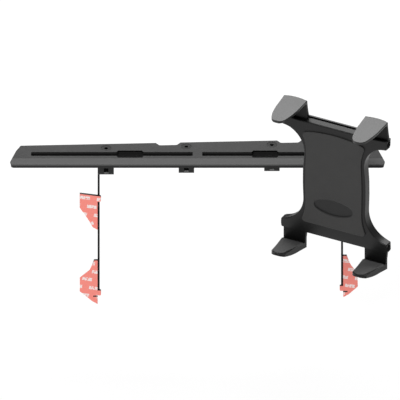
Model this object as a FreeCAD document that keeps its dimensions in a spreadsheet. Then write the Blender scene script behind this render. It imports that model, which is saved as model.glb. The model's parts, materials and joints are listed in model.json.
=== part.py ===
import FreeCAD, Part
import math
import os
import Sketcher

# Dash tablet mount: a slotted dash plate on four lug brackets, a clamped ball arm and a sprung
# tablet holder. X runs along the plate, Y to the rear, Z up. The origin lies on the underside of
# the plate, under the middle of its slots. Millimetres and degrees.

doc = FreeCAD.newDocument("dash_tablet_mount")
sheet = doc.addObject("Spreadsheet::Sheet", "Dim")
# The driving dimensions
SIZES = {
    # Dash plate
    "plate_thickness": 8.0,
    "plate_front": 20.2,
    "front_half_length": 210.9,
    "shoulder_inset": 6.8,
    "shoulder_y": 8.0,
    "rear_left_inset": 11.7,
    "rear_left_y": 18.8,
    "rear_right_inset": 14.6,
    "rear_right_y": 34.4,
    "front_corner_radius": 4.3,
    "facet_start": 10.05,
    "facet_drop": 1.9,
    "front_face_height": 4.4,
    "under_bevel_run": 6.0,
    "plate_edge_bevel": 0.8,
    "notch_floor": 19.0,
    "notch_run": 4.0,
    "notch_depth": 5.3,
    "notch_corner_radius": 2.0,
    "left_notch_x": -33.1,
    "right_notch_x": 103.5,
    # Slots of the dash plate
    "slot_width": 7.7,
    "slot_end_inset": 23.9,
    "slot_inner_end": 5.6,
    "slot_corner": 1.0,
    "slot_bevel": 0.4,
    "lip_thickness": 3.0,
    "cavity_width": 14.4,
    "cavity_height": 3.6,
    "cavity_overrun": 0.8,
    "cavity_corner": 2.0,
    "opening_x": 75.9,
    "opening_width": 13.3,
    "opening_length": 29.8,
    "opening_flat": 25.9,
    # Plate screws
    "first_screw_inset": 108.1,
    "second_screw_x": -12.5,
    "third_screw_x": 83.7,
    "fourth_screw_inset": 56.7,
    "screw_inset": 9.8,
    "screw_radius": 3.0,
    "screw_head_radius": 5.65,
    "screw_head_depth": 3.0,
    "screw_sink": 0.25,
    "hex_key_width": 4.0,
    "hex_key_depth": 2.2,
    "screw_clearance": 0.3,
    "screw_tip_stand": 1.5,
    "thread_chamfer": 0.6,
    "thread_clearance": 0.06,
    # Lug brackets
    "lug_sheet": 2.0,
    "lug_half_width": 8.7,
    "lug_front": 7.0,
    "lug_rear": 6.6,
    "lug_drop": 21.8,
    "lug_hole_width": 5.2,
    "lug_hole_height": 5.0,
    "lug_hole_rise": 4.8,
    "lug_foot_rear": 5.5,
    "collar_radius": 4.6,
    "collar_height": 3.2,
    "bend_radius": 1.2,
    # Side brackets: a thin blade with two flags
    "blade_offset": 8.6,
    "blade_sheet": 1.9,
    "blade_depth": 13.0,
    "blade_recess": 2.6,
    "bracket_drop": 191.8,
    "blade_step": 2.0,
    "blade_foot_rise": 6.0,
    "flag_width": 20.9,
    "upper_flag_top": 46.4,
    "upper_flag_height": 48.0,
    "upper_flag_fall": 3.5,
    "upper_flag_edge": 19.1,
    "upper_flag_taper_width": 11.3,
    "upper_flag_taper_drop": 33.4,
    "upper_flag_tip_width": 5.6,
    "upper_flag_tip_drop": 44.7,
    "flag_ear": 3.8,
    "ear_corner": 1.1,
    "upper_ear_drop": 4.2,
    "upper_ear_height": 7.1,
    "lower_flag_height": 57.1,
    "narrow_flag_width": 16.6,
    "lower_flag_top_width": 4.0,
    "lower_flag_neck_width": 9.4,
    "lower_flag_neck_drop": 12.6,
    "lower_flag_hip_drop": 22.3,
    "lower_flag_edge": 40.4,
    "lower_flag_foot_width": 6.2,
    "lower_flag_foot_drop": 53.3,
    "lower_ear_drop": 39.4,
    "lower_ear_height": 6.5,
    "slit_height": 1.6,
    "slit_length": 5.0,
    "tape_thickness": 1.1,
    "tape_margin": 0.35,
    "liner_thickness": 0.3,
    "liner_margin": 0.1,
    # Slot nut and base ball
    "base_inset": 36.7,
    "slot_nut_length": 16.0,
    "slot_nut_corner": 3.0,
    "slot_nut_width": 12.8,
    "slot_nut_height": 3.0,
    "slot_nut_play": 0.2,
    "slot_neck_play": 0.25,
    "slot_neck_sink": 0.4,
    "stud_radius": 3.0,
    "stud_above_plate": 11.0,
    "stud_room": 0.6,
    "running_clearance": 0.06,
    "seat_gap": 0.1,
    "base_washer_radius": 11.5,
    "base_washer_thickness": 1.2,
    "base_flange_radius": 10.5,
    "base_flange_height": 5.0,
    "base_hex_width": 19.0,
    "base_collar_height": 1.2,
    "ball_radius": 10.0,
    "ball_neck_radius": 3.6,
    "neck_flare": 0.8,
    "neck_step": 0.8,
    "neck_rise": 2.3,
    "ball_height": 22.0,
    # Arm between the two balls
    "arm_length": 60.95,
    "arm_yaw": 5.43,
    "arm_split": 1.6,
    "arm_outer": 12.4,
    "arm_plate_inner": 8.8,
    "arm_end_radius": 9.0,
    "arm_waist_height": 7.6,
    "arm_block_half_length": 15.0,
    "arm_block_half_height": 9.0,
    "socket_rim_depth": 7.1,
    "socket_rim_radius": 6.9,
    "socket_rim_wall": 1.0,
    "socket_rim_lead": 0.6,
    "socket_clearance": 0.06,
    "arm_edge_radius": 1.6,
    "clamp_radius": 3.0,
    "clamp_hole_clearance": 0.25,
    "clamp_head_width": 10.0,
    "clamp_head_height": 4.0,
    "clamp_head_sink": 3.0,
    "clamp_end": 27.0,
    "arm_spring_radius": 4.6,
    "arm_spring_wire": 0.9,
    "spring_pocket_depth": 4.4,
    "spring_pocket_clearance": 0.4,
    "arm_spring_turns": 2.75,
    "arm_washer_radius": 6.5,
    "arm_washer_thickness": 1.2,
    # Knob on the clamp bolt
    "knob_radius": 13.0,
    "knob_height": 15.0,
    "knob_hub_radius": 7.0,
    "knob_hub_height": 3.0,
    "knob_scallops": 7,
    "knob_scallop_radius": 3.6,
    "knob_scallop_offset": 14.6,
    "knob_edge_radius": 1.2,
    "insert_radius": 4.4,
    "insert_length": 10.0,
    # Holder: pose and shells
    "holder_yaw": 27.3,
    "ball_above_centre": 8.0,
    "holder_half_height": 73.6,
    "waist_half_width": 39.8,
    "arm_half_width": 67.2,
    "arm_end_height": 11.5,
    "flare_start": 27.0,
    "shell_depth": 11.5,
    "shell_wall": 3.2,
    "flank_wall": 3.0,
    "arm_rim": 1.3,
    "shell_front_radius": 1.5,
    "arm_corner_radius": 2.0,
    "slant_start": 59.5,
    "slant_depth": 1.8,
    "top_wall_depth": 8.5,
    "top_wall_height": 2.4,
    "back_depth": 4.5,
    "back_inset": 0.8,
    "back_edge_bevel": 0.8,
    "boss_radius": 3.0,
    "boss_inset": 8.0,
    "upper_boss_rise": 38.0,
    "lower_boss_rise": -32.0,
    "shell_screw_radius": 1.4,
    "shell_screw_head_radius": 2.8,
    "shell_screw_length": 9.5,
    "head_clearance": 0.2,
    "head_sink": 0.3,
    "pilot_room": 0.3,
    "screw_point": 0.8,
    # Raised front pad
    "pad_height": 3.7,
    "pad_side_inset": 4.1,
    "pad_flare_start": 30.0,
    "pad_flare": 7.3,
    "pad_corner_rise": 58.4,
    "pad_corner": 4.0,
    "pad_crown": 5.6,
    "pad_foot_fall": 58.0,
    "pad_edge_radius": 1.3,
    "oval_half_length": 24.5,
    "oval_half_height": 10.0,
    "oval_end_radius": 6.0,
    "oval_fall": 30.0,
    "oval_depth": 0.8,
    # Fingers and legs that grip the tablet
    "grip_margin": 0.8,
    "finger_half_width": 15.2,
    "leg_half_width": 14.0,
    "grip_reach": 42.0,
    "tip_narrowing": 5.0,
    "tip_corner_radius": 6.0,
    "finger_tip_thickness": 3.2,
    "leg_tip_thickness": 4.0,
    "grip_web": 3.4,
    "finger_tilt_angle": 4.5,
    "leg_outer_tilt_angle": 12.5,
    "leg_inner_tilt_angle": 8.0,
    "finger_bulge": 2.7,
    "finger_top": 95.8,
    "leg_bottom": 96.0,
    "grip_overlap": 9.0,
    "grip_play": 0.3,
    "grip_pad_thickness": 1.0,
    "grip_pad_inset": 2.4,
    "grip_edge_radius": 0.8,
    "grip_screw_spread": 7.5,
    "grip_screw_radius": 1.4,
    "grip_screw_head_radius": 2.6,
    "finger_screw_length": 4.6,
    "leg_screw_length": 4.2,
    # Sliding carriage and its springs
    "carriage_thickness": 2.6,
    "carriage_bar_height": 6.8,
    "carriage_bar_inset": 3.2,
    "carriage_tail_half_width": 13.0,
    "carriage_tail_end": -26.0,
    "carriage_play": 0.15,
    "spring_x": 8.0,
    "spring_radius": 1.6,
    "spring_front_gap": 0.4,
    "spring_low": -58.0,
    "spring_pin_height": 18.0,
    "spring_post_radius": 0.9,
    "spring_eye_radius": 1.8,
    "spring_eye_play": 0.1,
    "spring_eye_lap": 0.4,
    "spring_eye_thickness": 1.0,
    # Ball plate on the back of the holder
    "ball_plate_half": 21.0,
    "ball_plate_corner": 6.0,
    "ball_plate_thickness": 3.0,
    "ball_plate_hole_spacing": 30.0,
    "ball_plate_screw_radius": 1.6,
    "ball_plate_head_radius": 3.0,
    "ball_plate_screw_length": 6.0,
    "holder_stud_radius": 3.0,
    "holder_ball_stand": 17.0,
    "holder_collar": 3.4,
    "holder_collar_height": 1.0,
}

for row, (name, number) in enumerate(SIZES.items(), start=1):
    sheet.set(f"A{row}", name)
    sheet.set(f"B{row}", str(number))
    sheet.setAlias(f"B{row}", name)
doc.recompute()

CUT = "20"
LAP = "1"
FLUSH = 0.01
GRIP_SIDES = (("left", -1), ("right", 1))


def value(expression):
    """The number that an expression on the sheet gives."""
    return float(sheet.evalExpression(expression.replace("Dim.", "")))


# Places worked out from the driving dimensions
SHOULDER_X = "(Dim.front_half_length - Dim.shoulder_inset)"
REAR_LEFT_X = "(Dim.front_half_length - Dim.rear_left_inset)"
REAR_RIGHT_X = "(Dim.front_half_length - Dim.rear_right_inset)"
SLOT_END = "(Dim.front_half_length - Dim.slot_end_inset)"
LUG_SCREWS = (
    "(Dim.first_screw_inset - Dim.front_half_length)", "Dim.second_screw_x",
    "Dim.third_screw_x", "(Dim.front_half_length - Dim.fourth_screw_inset)",
)
REAR_SLOPE = f"((Dim.rear_right_y - Dim.rear_left_y) / ({REAR_LEFT_X} + {REAR_RIGHT_X}))"
BASE_X = "(Dim.front_half_length - Dim.base_inset)"
BALL_X = f"({BASE_X} - Dim.arm_length * sin(Dim.arm_yaw))"
BALL_Y = "(-Dim.arm_length * cos(Dim.arm_yaw))"
BALL_Z = "(Dim.plate_thickness + Dim.ball_height)"
BACK = "(Dim.shell_depth + Dim.back_depth)"
BALL_DEPTH = f"({BACK} + Dim.holder_ball_stand)"
HOLDER_X = f"({BALL_X} - {BALL_DEPTH} * sin(Dim.holder_yaw))"
HOLDER_Y = f"({BALL_Y} - {BALL_DEPTH} * cos(Dim.holder_yaw))"
HOLDER_Z = f"({BALL_Z} - Dim.ball_above_centre)"


def rear_edge(x):
    """How far to the rear the plate reaches at x along it."""
    return f"(Dim.rear_left_y + ({x} + {REAR_LEFT_X}) * {REAR_SLOPE})"


def screw_y(x):
    """A plate screw stands a fixed distance inside the oblique rear edge."""
    return f"({rear_edge(x)} - Dim.screw_inset)"


# Helpers that draw and build

def new_body(label):
    """An empty body, whose label names the sub-part."""
    body = doc.addObject("PartDesign::Body", label)
    body.Label = label
    return body


def sketch_on(body, plane, shift):
    """A sketch on one of the body's own planes, shifted along the plane's normal."""
    sketch = body.newObject("Sketcher::SketchObject", f"sketch_{body.Name}")
    for feature in body.Origin.OriginFeatures:
        if feature.Role == plane:
            sketch.AttachmentSupport = [(feature, "")]
    sketch.MapMode = "FlatFace"
    sketch.setExpression("AttachmentOffset.Base.z", shift)
    return sketch


def fix_point(sketch, geometry, end, across, along):
    """Tie one point of a sketch to the sheet, both ways from the origin."""
    for kind, axis, expression in (("DistanceX", -2, across), ("DistanceY", -1, along)):
        if expression == "0":
            sketch.addConstraint(Sketcher.Constraint("PointOnObject", geometry, end, axis))
            continue
        datum = Sketcher.Constraint(kind, -1, 1, geometry, end, value(expression))
        index = sketch.addConstraint(datum)
        sketch.setExpression(f"Constraints[{index}]", expression)


def draw_circle(sketch, across, along, radius):
    """A circle tied to the sheet by its centre and radius."""
    centre = FreeCAD.Vector(value(across), value(along), 0)
    normal = FreeCAD.Vector(0, 0, 1)
    geometry = sketch.addGeometry(Part.Circle(centre, normal, value(radius)), False)
    fix_point(sketch, geometry, 3, across, along)
    index = sketch.addConstraint(Sketcher.Constraint("Radius", geometry, value(radius)))
    sketch.setExpression(f"Constraints[{index}]", radius)


def arc_between(start, end, radius, turns_left):
    """The short arc from start to end, on the side that the turn gives."""
    chord = end - start
    half = chord.Length / 2
    rise = math.sqrt(max(radius * radius - half * half, 0))
    side = FreeCAD.Vector(-chord.y, chord.x, 0).normalize()
    centre = (start + end) * 0.5 + side * (rise if turns_left else -rise)
    first, last = (start, end) if turns_left else (end, start)
    angles = [math.atan2(p.y - centre.y, p.x - centre.x) for p in (first, last)]
    circle = Part.Circle(centre, FreeCAD.Vector(0, 0, 1), radius)
    return Part.ArcOfCircle(circle, angles[0], angles[1])


def draw_outline(sketch, points):
    """A closed outline. A point is (across, along), or (across, along, radius, "left" or "right")
    where the stretch to the next point is an arc that turns that way."""
    places = [FreeCAD.Vector(value(p[0]), value(p[1]), 0) for p in points]
    pieces = []
    for index, point in enumerate(points):
        start, end = places[index], places[(index + 1) % len(points)]
        if len(point) == 2:
            pieces.append((sketch.addGeometry(Part.LineSegment(start, end), False), 1, 2))
            continue
        left = point[3] == "left"
        arc = sketch.addGeometry(arc_between(start, end, value(point[2]), left), False)
        number = sketch.addConstraint(Sketcher.Constraint("Radius", arc, value(point[2])))
        sketch.setExpression(f"Constraints[{number}]", point[2])
        pieces.append((arc, 1, 2) if left else (arc, 2, 1))
    for index, (geometry, start, end) in enumerate(pieces):
        following = pieces[(index + 1) % len(pieces)]
        joint = Sketcher.Constraint("Coincident", geometry, end, following[0], following[1])
        sketch.addConstraint(joint)
        fix_point(sketch, geometry, start, points[index][0], points[index][1])


def draw(sketch, shapes):
    """Draw each shape: a tuple of three is a circle, a list is an outline."""
    for shape in shapes:
        if isinstance(shape, tuple):
            draw_circle(sketch, *shape)
        else:
            draw_outline(sketch, shape)


def extrude(body, kind, plane, shapes, low, high):
    """Pad or pocket shapes from low to high along the axis that the plane faces."""
    flipped = plane == "XZ_Plane"
    start = low if (kind == "Pad") != flipped else high
    sketch = sketch_on(body, plane, f"-({start})" if flipped else start)
    draw(sketch, shapes)
    feature = body.newObject(f"PartDesign::{kind}", f"{kind}_{body.Name}")
    feature.Profile = sketch
    feature.setExpression("Length", f"({high}) - ({low})")
    sketch.Visibility = False
    return feature


def pad(body, plane, shapes, low, high):
    """Add material between two heights."""
    return extrude(body, "Pad", plane, shapes, low, high)


def cut(body, plane, shapes, low, high):
    """Take material away between two heights."""
    return extrude(body, "Pocket", plane, shapes, low, high)


def turn(body, kind, points, plane="XZ_Plane"):
    """Add (Revolution) or cut (Groove) an outline turned about the body's own upright axis."""
    sketch = sketch_on(body, plane, "0")
    draw(sketch, [points])
    feature = body.newObject(f"PartDesign::{kind}", f"{kind}_{body.Name}")
    feature.Profile = sketch
    feature.ReferenceAxis = (sketch, ["V_Axis"])
    feature.Angle = 360
    return feature


def dress(body, kind, amount, choose):
    """Fillet or chamfer the edges of the body's present shape that choose picks."""
    doc.recompute()
    base = body.Tip
    edges = base.Shape.Edges
    names = [f"Edge{number + 1}" for number, edge in enumerate(edges) if choose(edge)]
    feature = body.newObject(f"PartDesign::{kind}", f"{kind}_{body.Name}")
    feature.Base = (base, names)
    feature.setExpression("Radius" if kind == "Fillet" else "Size", amount)
    return feature


def place(item, x, y, z, yaw="0", roll="0"):
    """Put an item at its place: rolled about its own X axis, then turned about the upright."""
    where = f"placement(vector({x}; {y}; {z}); rotation({yaw}; 0; {roll}))"
    item.setExpression("Placement", where)


def place_in_holder(item, across="0", back="0", up="0", roll="0"):
    """Put an item at a place given in the holder's own directions."""
    x = f"{HOLDER_X} + ({across}) * cos(Dim.holder_yaw) + ({back}) * sin(Dim.holder_yaw)"
    y = f"{HOLDER_Y} - ({across}) * sin(Dim.holder_yaw) + ({back}) * cos(Dim.holder_yaw)"
    place(item, x, y, f"{HOLDER_Z} + ({up})", "-Dim.holder_yaw", roll)


def group(label, master, spots):
    """A group of equal solids: copies of a master body, moved in its own frame, as one sub-part."""
    doc.recompute()
    copies = []
    for x, y, z in spots:
        copy = master.Shape.copy()
        move = FreeCAD.Vector(value(x), value(y), value(z))
        copy.Placement = copy.Placement.multiply(FreeCAD.Placement(move, FreeCAD.Rotation()))
        copies.append(copy)
    feature = doc.addObject("Part::Feature", label)
    feature.Label = label
    feature.Shape = Part.makeCompound(copies)
    return feature


def box_points(left, front, right, rear):
    """The corners of a rectangle, in order."""
    return [(left, front), (right, front), (right, rear), (left, rear)]


def hexagon(width, across="0", along="0"):
    """A hexagon, by its width across flats."""
    half = f"({width}) / 2"
    tip = f"({width}) / sqrt(3)"
    side = f"({tip}) / 2"
    corners = (("1", tip, "0", half), ("1", side, "1", half), ("-1", side, "1", half),
               ("-1", tip, "0", half), ("-1", side, "-1", half), ("1", side, "-1", half))
    return [(f"{across} + {a} * ({b})", f"{along} + {c} * ({d})") for a, b, c, d in corners]


def rounded_box(left, low, right, high, corner):
    """The outline of a rectangle with four rounded corners."""
    return [
        (f"{left} + {corner}", low), (f"{right} - {corner}", low, corner, "left"),
        (right, f"{low} + {corner}"), (right, f"{high} - {corner}", corner, "left"),
        (f"{right} - {corner}", high), (f"{left} + {corner}", high, corner, "left"),
        (left, f"{high} - {corner}"), (left, f"{low} + {corner}", corner, "left"),
    ]


def is_upright(edge):
    """Whether an edge runs straight up."""
    ends = [vertex.Point for vertex in edge.Vertexes]
    return len(ends) == 2 and abs(ends[0].x - ends[1].x) + abs(ends[0].y - ends[1].y) < 0.001


# Dash plate and its screws

def notch_points(centre):
    """One shallow notch in the oblique rear edge, from right to left."""
    reach = "Dim.notch_floor / 2"
    spots = ((f"{centre} + {reach} + Dim.notch_run", "0"), (f"{centre} + {reach}", "Dim.notch_depth"),
             (f"{centre} - {reach}", "Dim.notch_depth"), (f"{centre} - {reach} - Dim.notch_run", "0"))
    return [(x, f"{rear_edge(x)} - {depth}") for x, depth in spots]


def plate_outline():
    """The plate seen from above, from its front left corner."""
    corner = "Dim.front_corner_radius"
    outline = [(f"-(Dim.front_half_length - {corner})", "-Dim.plate_front")]
    outline.append((f"Dim.front_half_length - {corner}", "-Dim.plate_front", corner, "left"))
    outline.append(("Dim.front_half_length", f"-(Dim.plate_front - {corner})"))
    outline.append((SHOULDER_X, "Dim.shoulder_y"))
    outline.append((REAR_RIGHT_X, "Dim.rear_right_y"))
    outline += notch_points("Dim.right_notch_x")
    outline += notch_points("Dim.left_notch_x")
    outline.append((f"-{REAR_LEFT_X}", "Dim.rear_left_y"))
    outline.append((f"-{SHOULDER_X}", "Dim.shoulder_y"))
    outline.append(("-Dim.front_half_length", f"-(Dim.plate_front - {corner})", corner, "left"))
    return outline


def opening_points(centre):
    """The long eight-sided opening where the slot nut goes in."""
    flat, reach = "Dim.opening_flat / 2", "Dim.opening_length / 2"
    wide, narrow = "Dim.opening_width / 2", "Dim.slot_width / 2"
    return [
        (f"{centre} - {reach}", f"-{narrow}"), (f"{centre} - {flat}", f"-{wide}"),
        (f"{centre} + {flat}", f"-{wide}"), (f"{centre} + {reach}", f"-{narrow}"),
        (f"{centre} + {reach}", narrow), (f"{centre} + {flat}", wide),
        (f"{centre} - {flat}", wide), (f"{centre} - {reach}", narrow),
    ]


def notch_corner(edge):
    """Whether an edge is one of the upright corners of a notch."""
    if not is_upright(edge):
        return False
    x = edge.Vertexes[0].Point.x
    y = edge.Vertexes[0].Point.y
    reach = value("Dim.notch_floor / 2 + Dim.notch_run") + 1
    beside = any(abs(x - value(f"Dim.{side}_notch_x")) < reach for side in ("left", "right"))
    return beside and y > value("Dim.cavity_width / 2")


def plate_rim(edge):
    """Whether an edge bounds the plate's top along its ends or its rear."""
    low, high = edge.BoundBox.ZMin, edge.BoundBox.ZMax
    if high - low > FLUSH or abs(high - value("Dim.plate_thickness")) > FLUSH:
        return False
    middle = edge.valueAt((edge.FirstParameter + edge.LastParameter) / 2)
    behind = middle.y > value(f"{rear_edge(str(round(middle.x, 4)))} - Dim.notch_depth") - 0.5
    return behind or abs(middle.x) > value(REAR_LEFT_X)


def slot_rim(edge):
    """Whether an edge bounds a slot at the plate's top."""
    box = edge.BoundBox
    at_top = abs(box.ZMin - value("Dim.plate_thickness")) + box.ZLength < FLUSH
    narrow = max(box.YMax, -box.YMin) < value("Dim.slot_width / 2") + FLUSH
    return at_top and narrow and max(box.XMax, -box.XMin) < value(SLOT_END) + FLUSH


def dash_plate():
    """The plate: outline, front facet, slots with an undercut, openings and countersunk holes."""
    body = new_body("dash_plate")
    top = "Dim.plate_thickness"
    pad(body, "XY_Plane", [plate_outline()], "0", top)
    dress(body, "Fillet", "Dim.notch_corner_radius", notch_corner)
    reach = f"Dim.plate_front + {CUT}"
    slope = "Dim.facet_drop / (Dim.plate_front - Dim.facet_start)"
    facet = [
        ("-Dim.facet_start", top), ("-Dim.facet_start", f"{top} + {CUT}"),
        (f"-({reach})", f"{top} + {CUT}"),
        (f"-({reach})", f"{top} - ({reach} - Dim.facet_start) * {slope}"),
    ]
    span = f"Dim.front_half_length + {CUT}"
    cut(body, "YZ_Plane", [facet], f"-({span})", span)
    lip = "(Dim.plate_thickness - Dim.facet_drop - Dim.front_face_height)"
    rise = f"({lip} / Dim.under_bevel_run)"
    under = [
        ("-(Dim.plate_front - Dim.under_bevel_run)", "0"),
        (f"-({reach})", f"{lip} + {CUT} * {rise}"), (f"-({reach})", f"-{CUT}"),
        ("-(Dim.plate_front - Dim.under_bevel_run)", f"-{CUT}"),
    ]
    cut(body, "YZ_Plane", [under], f"-({span})", span)
    dress(body, "Chamfer", "Dim.plate_edge_bevel", plate_rim)
    ledge = f"({top} - Dim.lip_thickness)"
    floor = f"({ledge} - Dim.cavity_height)"
    runs = ((f"-{SLOT_END}", "-Dim.slot_inner_end"), ("Dim.slot_inner_end", SLOT_END))
    half, more = "Dim.slot_width / 2", "Dim.cavity_overrun"
    narrow = [rounded_box(left, f"-{half}", right, half, "Dim.slot_corner") for left, right in runs]
    half = "Dim.cavity_width / 2"
    wide = [rounded_box(f"{left} - {more}", f"-{half}", f"{right} + {more}", half, "Dim.cavity_corner")
            for left, right in runs]
    cut(body, "XY_Plane", narrow, ledge, top)
    dress(body, "Chamfer", "Dim.slot_bevel", slot_rim)
    cut(body, "XY_Plane", wide, floor, ledge)
    openings = [opening_points(f"{sign}Dim.opening_x") for sign in ("-", "")]
    cut(body, "XY_Plane", openings, ledge, top)
    holes = [(x, screw_y(x), "Dim.screw_radius + Dim.screw_clearance") for x in LUG_SCREWS]
    cut(body, "XY_Plane", holes, "0", top)
    for x in LUG_SCREWS:
        sink_screw(body, x, screw_y(x), top)
    return body


def sink_screw(body, x, y, top):
    """A countersink for one flat screw head, a little wider than the head."""
    cone = body.newObject("PartDesign::SubtractiveCone", f"countersink_{body.Name}")
    for feature in body.Origin.OriginFeatures:
        if feature.Role == "XY_Plane":
            cone.AttachmentSupport = [(feature, "")]
    cone.MapMode = "FlatFace"
    deep = "(Dim.screw_head_depth + Dim.screw_sink)"
    cone.setExpression("Radius1", "Dim.screw_radius + Dim.screw_clearance")
    cone.setExpression("Radius2", "Dim.screw_head_radius + Dim.screw_clearance")
    cone.setExpression("Height", deep)
    cone.setExpression("AttachmentOffset.Base.x", x)
    cone.setExpression("AttachmentOffset.Base.y", y)
    cone.setExpression("AttachmentOffset.Base.z", f"{top} - {deep}")


def plate_screws():
    """Four flat-head screws with a hexagon socket, through the plate and the brackets."""
    body = new_body("plate_screw_form")
    head = "(Dim.plate_thickness - Dim.screw_sink)"
    throat = f"({head} - Dim.screw_head_depth)"
    tip = "(-(Dim.lug_sheet + Dim.collar_height + Dim.screw_tip_stand))"
    bevel = "Dim.thread_chamfer"
    turn(body, "Revolution", [
        ("0", tip), (f"Dim.screw_radius - {bevel}", tip), ("Dim.screw_radius", f"{tip} + {bevel}"),
        ("Dim.screw_radius", throat), ("Dim.screw_head_radius", head), ("0", head),
    ])
    cut(body, "XY_Plane", [hexagon("Dim.hex_key_width")], f"{head} - Dim.hex_key_depth", head)
    spots = [(x, screw_y(x), "0") for x in LUG_SCREWS]
    return group("plate_screws", body, spots)


# Brackets under the plate

def lug_profile():
    """The folded sheet of a lug from the side: flange under the plate, tab, foot to the rear."""
    metal = "Dim.lug_sheet"
    front = "(-Dim.lug_front)"
    inner = f"({front} + {metal})"
    bend = "Dim.bend_radius"
    outside = f"({bend} + {metal})"
    bottom = "(-Dim.lug_drop)"
    return [
        ("Dim.lug_rear", "0"), (f"{front} + {outside}", "0", outside, "left"),
        (front, f"-{outside}"), (front, f"{bottom} + {outside}", outside, "left"),
        (f"{front} + {outside}", bottom), ("Dim.lug_foot_rear", bottom),
        ("Dim.lug_foot_rear", f"{bottom} + {metal}"),
        (f"{inner} + {bend}", f"{bottom} + {metal}", bend, "right"),
        (inner, f"{bottom} + {outside}"), (inner, f"-{outside}", bend, "right"),
        (f"{inner} + {bend}", f"-{metal}"), ("Dim.lug_rear", f"-{metal}"),
    ]


def pierce_lug(body):
    """The tapped collar under the flange and the square hole in the tab."""
    low = "-(Dim.lug_sheet + Dim.collar_height)"
    pad(body, "XY_Plane", [("0", "0", "Dim.collar_radius")], low, "-Dim.lug_sheet / 2")
    cut(body, "XY_Plane", [("0", "0", "Dim.screw_radius + Dim.thread_clearance")], low, "0")
    half = "Dim.lug_hole_width / 2"
    low = "(-Dim.lug_drop + Dim.lug_hole_rise - Dim.lug_hole_height / 2)"
    window = box_points(f"-{half}", low, half, f"{low} + Dim.lug_hole_height")
    rear = "-Dim.lug_front + Dim.lug_sheet + Dim.bend_radius"
    cut(body, "XZ_Plane", [window], "-Dim.lug_front", rear)


def lug_bracket(label, x):
    """A plain lug bracket under one of the middle screws."""
    body = new_body(label)
    pad(body, "YZ_Plane", [lug_profile()], "-Dim.lug_half_width", "Dim.lug_half_width")
    pierce_lug(body)
    place(body, x, screw_y(x), "0")
    return body


FOLD = "(Dim.blade_offset + Dim.blade_sheet / 2)"
FLAG_TOP = "(Dim.bracket_drop - Dim.lower_flag_height)"
SLIT = "(Dim.lower_ear_drop + Dim.lower_ear_height)"


def flag_places(side, top):
    """A function that places a point of a flag by its distance out from the fold and its drop."""
    def spot(out, drop, *arc):
        return (f"{side} * ({FOLD} + {out})", f"-({top}) - ({drop})") + arc
    return spot


def ear(side, spot, top, bottom, inset):
    """The rounded ear that a flag has past its blade, from its top to its foot."""
    corner = "Dim.ear_corner"
    bend = (corner, "left" if side > 0 else "right")
    edge = f"-Dim.flag_ear + {inset}"
    return [
        spot(f"{edge} + {corner}", f"{top} + {inset}", *bend),
        spot(edge, f"{top} + {inset} + {corner}"),
        spot(edge, f"{bottom} - {inset} - {corner}", *bend),
        spot(f"{edge} + {corner}", f"{bottom} - {inset}"),
    ]


def upper_flag(side, inset="0"):
    """The upper flag from the front: a leaf with a slanting top and foot, and an ear."""
    spot = flag_places(side, "Dim.upper_flag_top")
    ear_foot = "(Dim.upper_ear_drop + Dim.upper_ear_height)"
    return [
        spot(f"Dim.flag_width - {inset}", inset),
        *ear(side, spot, "Dim.upper_ear_drop", ear_foot, inset),
        spot(inset, f"{ear_foot} - {inset}"),
        spot(inset, f"Dim.upper_flag_height - {inset}"),
        spot(f"Dim.upper_flag_tip_width - {inset}", f"Dim.upper_flag_tip_drop - {inset}"),
        spot(f"Dim.upper_flag_taper_width - {inset}", f"Dim.upper_flag_taper_drop - {inset}"),
        spot(f"Dim.flag_width - {inset}", f"Dim.upper_flag_edge - {inset}"),
    ]


def lower_flag(side, inset="0"):
    """The lower flag from the front: a slanting top, an ear, and a slit over its foot. The
    right one is narrower."""
    spot = flag_places(side, FLAG_TOP)
    wide = "Dim.flag_width" if side < 0 else "Dim.narrow_flag_width"
    return [
        spot(f"Dim.lower_flag_top_width - {inset}", inset),
        spot(inset, inset),
        spot(inset, f"Dim.lower_ear_drop + {inset}"),
        *ear(side, spot, "Dim.lower_ear_drop", SLIT, inset),
        spot("Dim.slit_length", f"{SLIT} - {inset}"),
        spot("Dim.slit_length", f"{SLIT} + Dim.slit_height + {inset}"),
        spot(inset, f"{SLIT} + Dim.slit_height + {inset}"),
        spot(inset, f"Dim.lower_flag_height - {inset}"),
        spot(f"Dim.lower_flag_foot_width - {inset}", f"Dim.lower_flag_foot_drop - {inset}"),
        spot(f"{wide} - {inset}", f"Dim.lower_flag_edge - {inset}"),
        spot(f"{wide} - {inset}", f"Dim.lower_flag_hip_drop + {inset}"),
        spot(f"Dim.lower_flag_neck_width - {inset}", f"Dim.lower_flag_neck_drop + {inset}"),
    ]


def blade_profile():
    """The blade from the side: full depth at the flags, set back between and above them. It
    ends at the lower flag's slit."""
    front = "(-Dim.lug_front)"
    back = f"({front} + Dim.blade_depth)"
    recess = f"({front} + Dim.blade_recess)"
    gap_low = f"(-{FLAG_TOP})"
    gap_high = "(-(Dim.upper_flag_top + Dim.upper_flag_height))"
    above = "(-(Dim.upper_flag_top + Dim.upper_flag_fall))"
    foot = f"({FLAG_TOP} + {SLIT})"
    step = "Dim.blade_step"
    return [
        (back, "0"), (recess, "0"), (recess, f"{above} + {step}"), (front, above),
        (front, gap_high), (recess, f"{gap_high} - {step}"), (recess, f"{gap_low} + {step}"),
        (front, gap_low), (front, f"-{foot}"),
        (back, f"-({foot} - Dim.blade_foot_rise)"),
    ]


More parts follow.
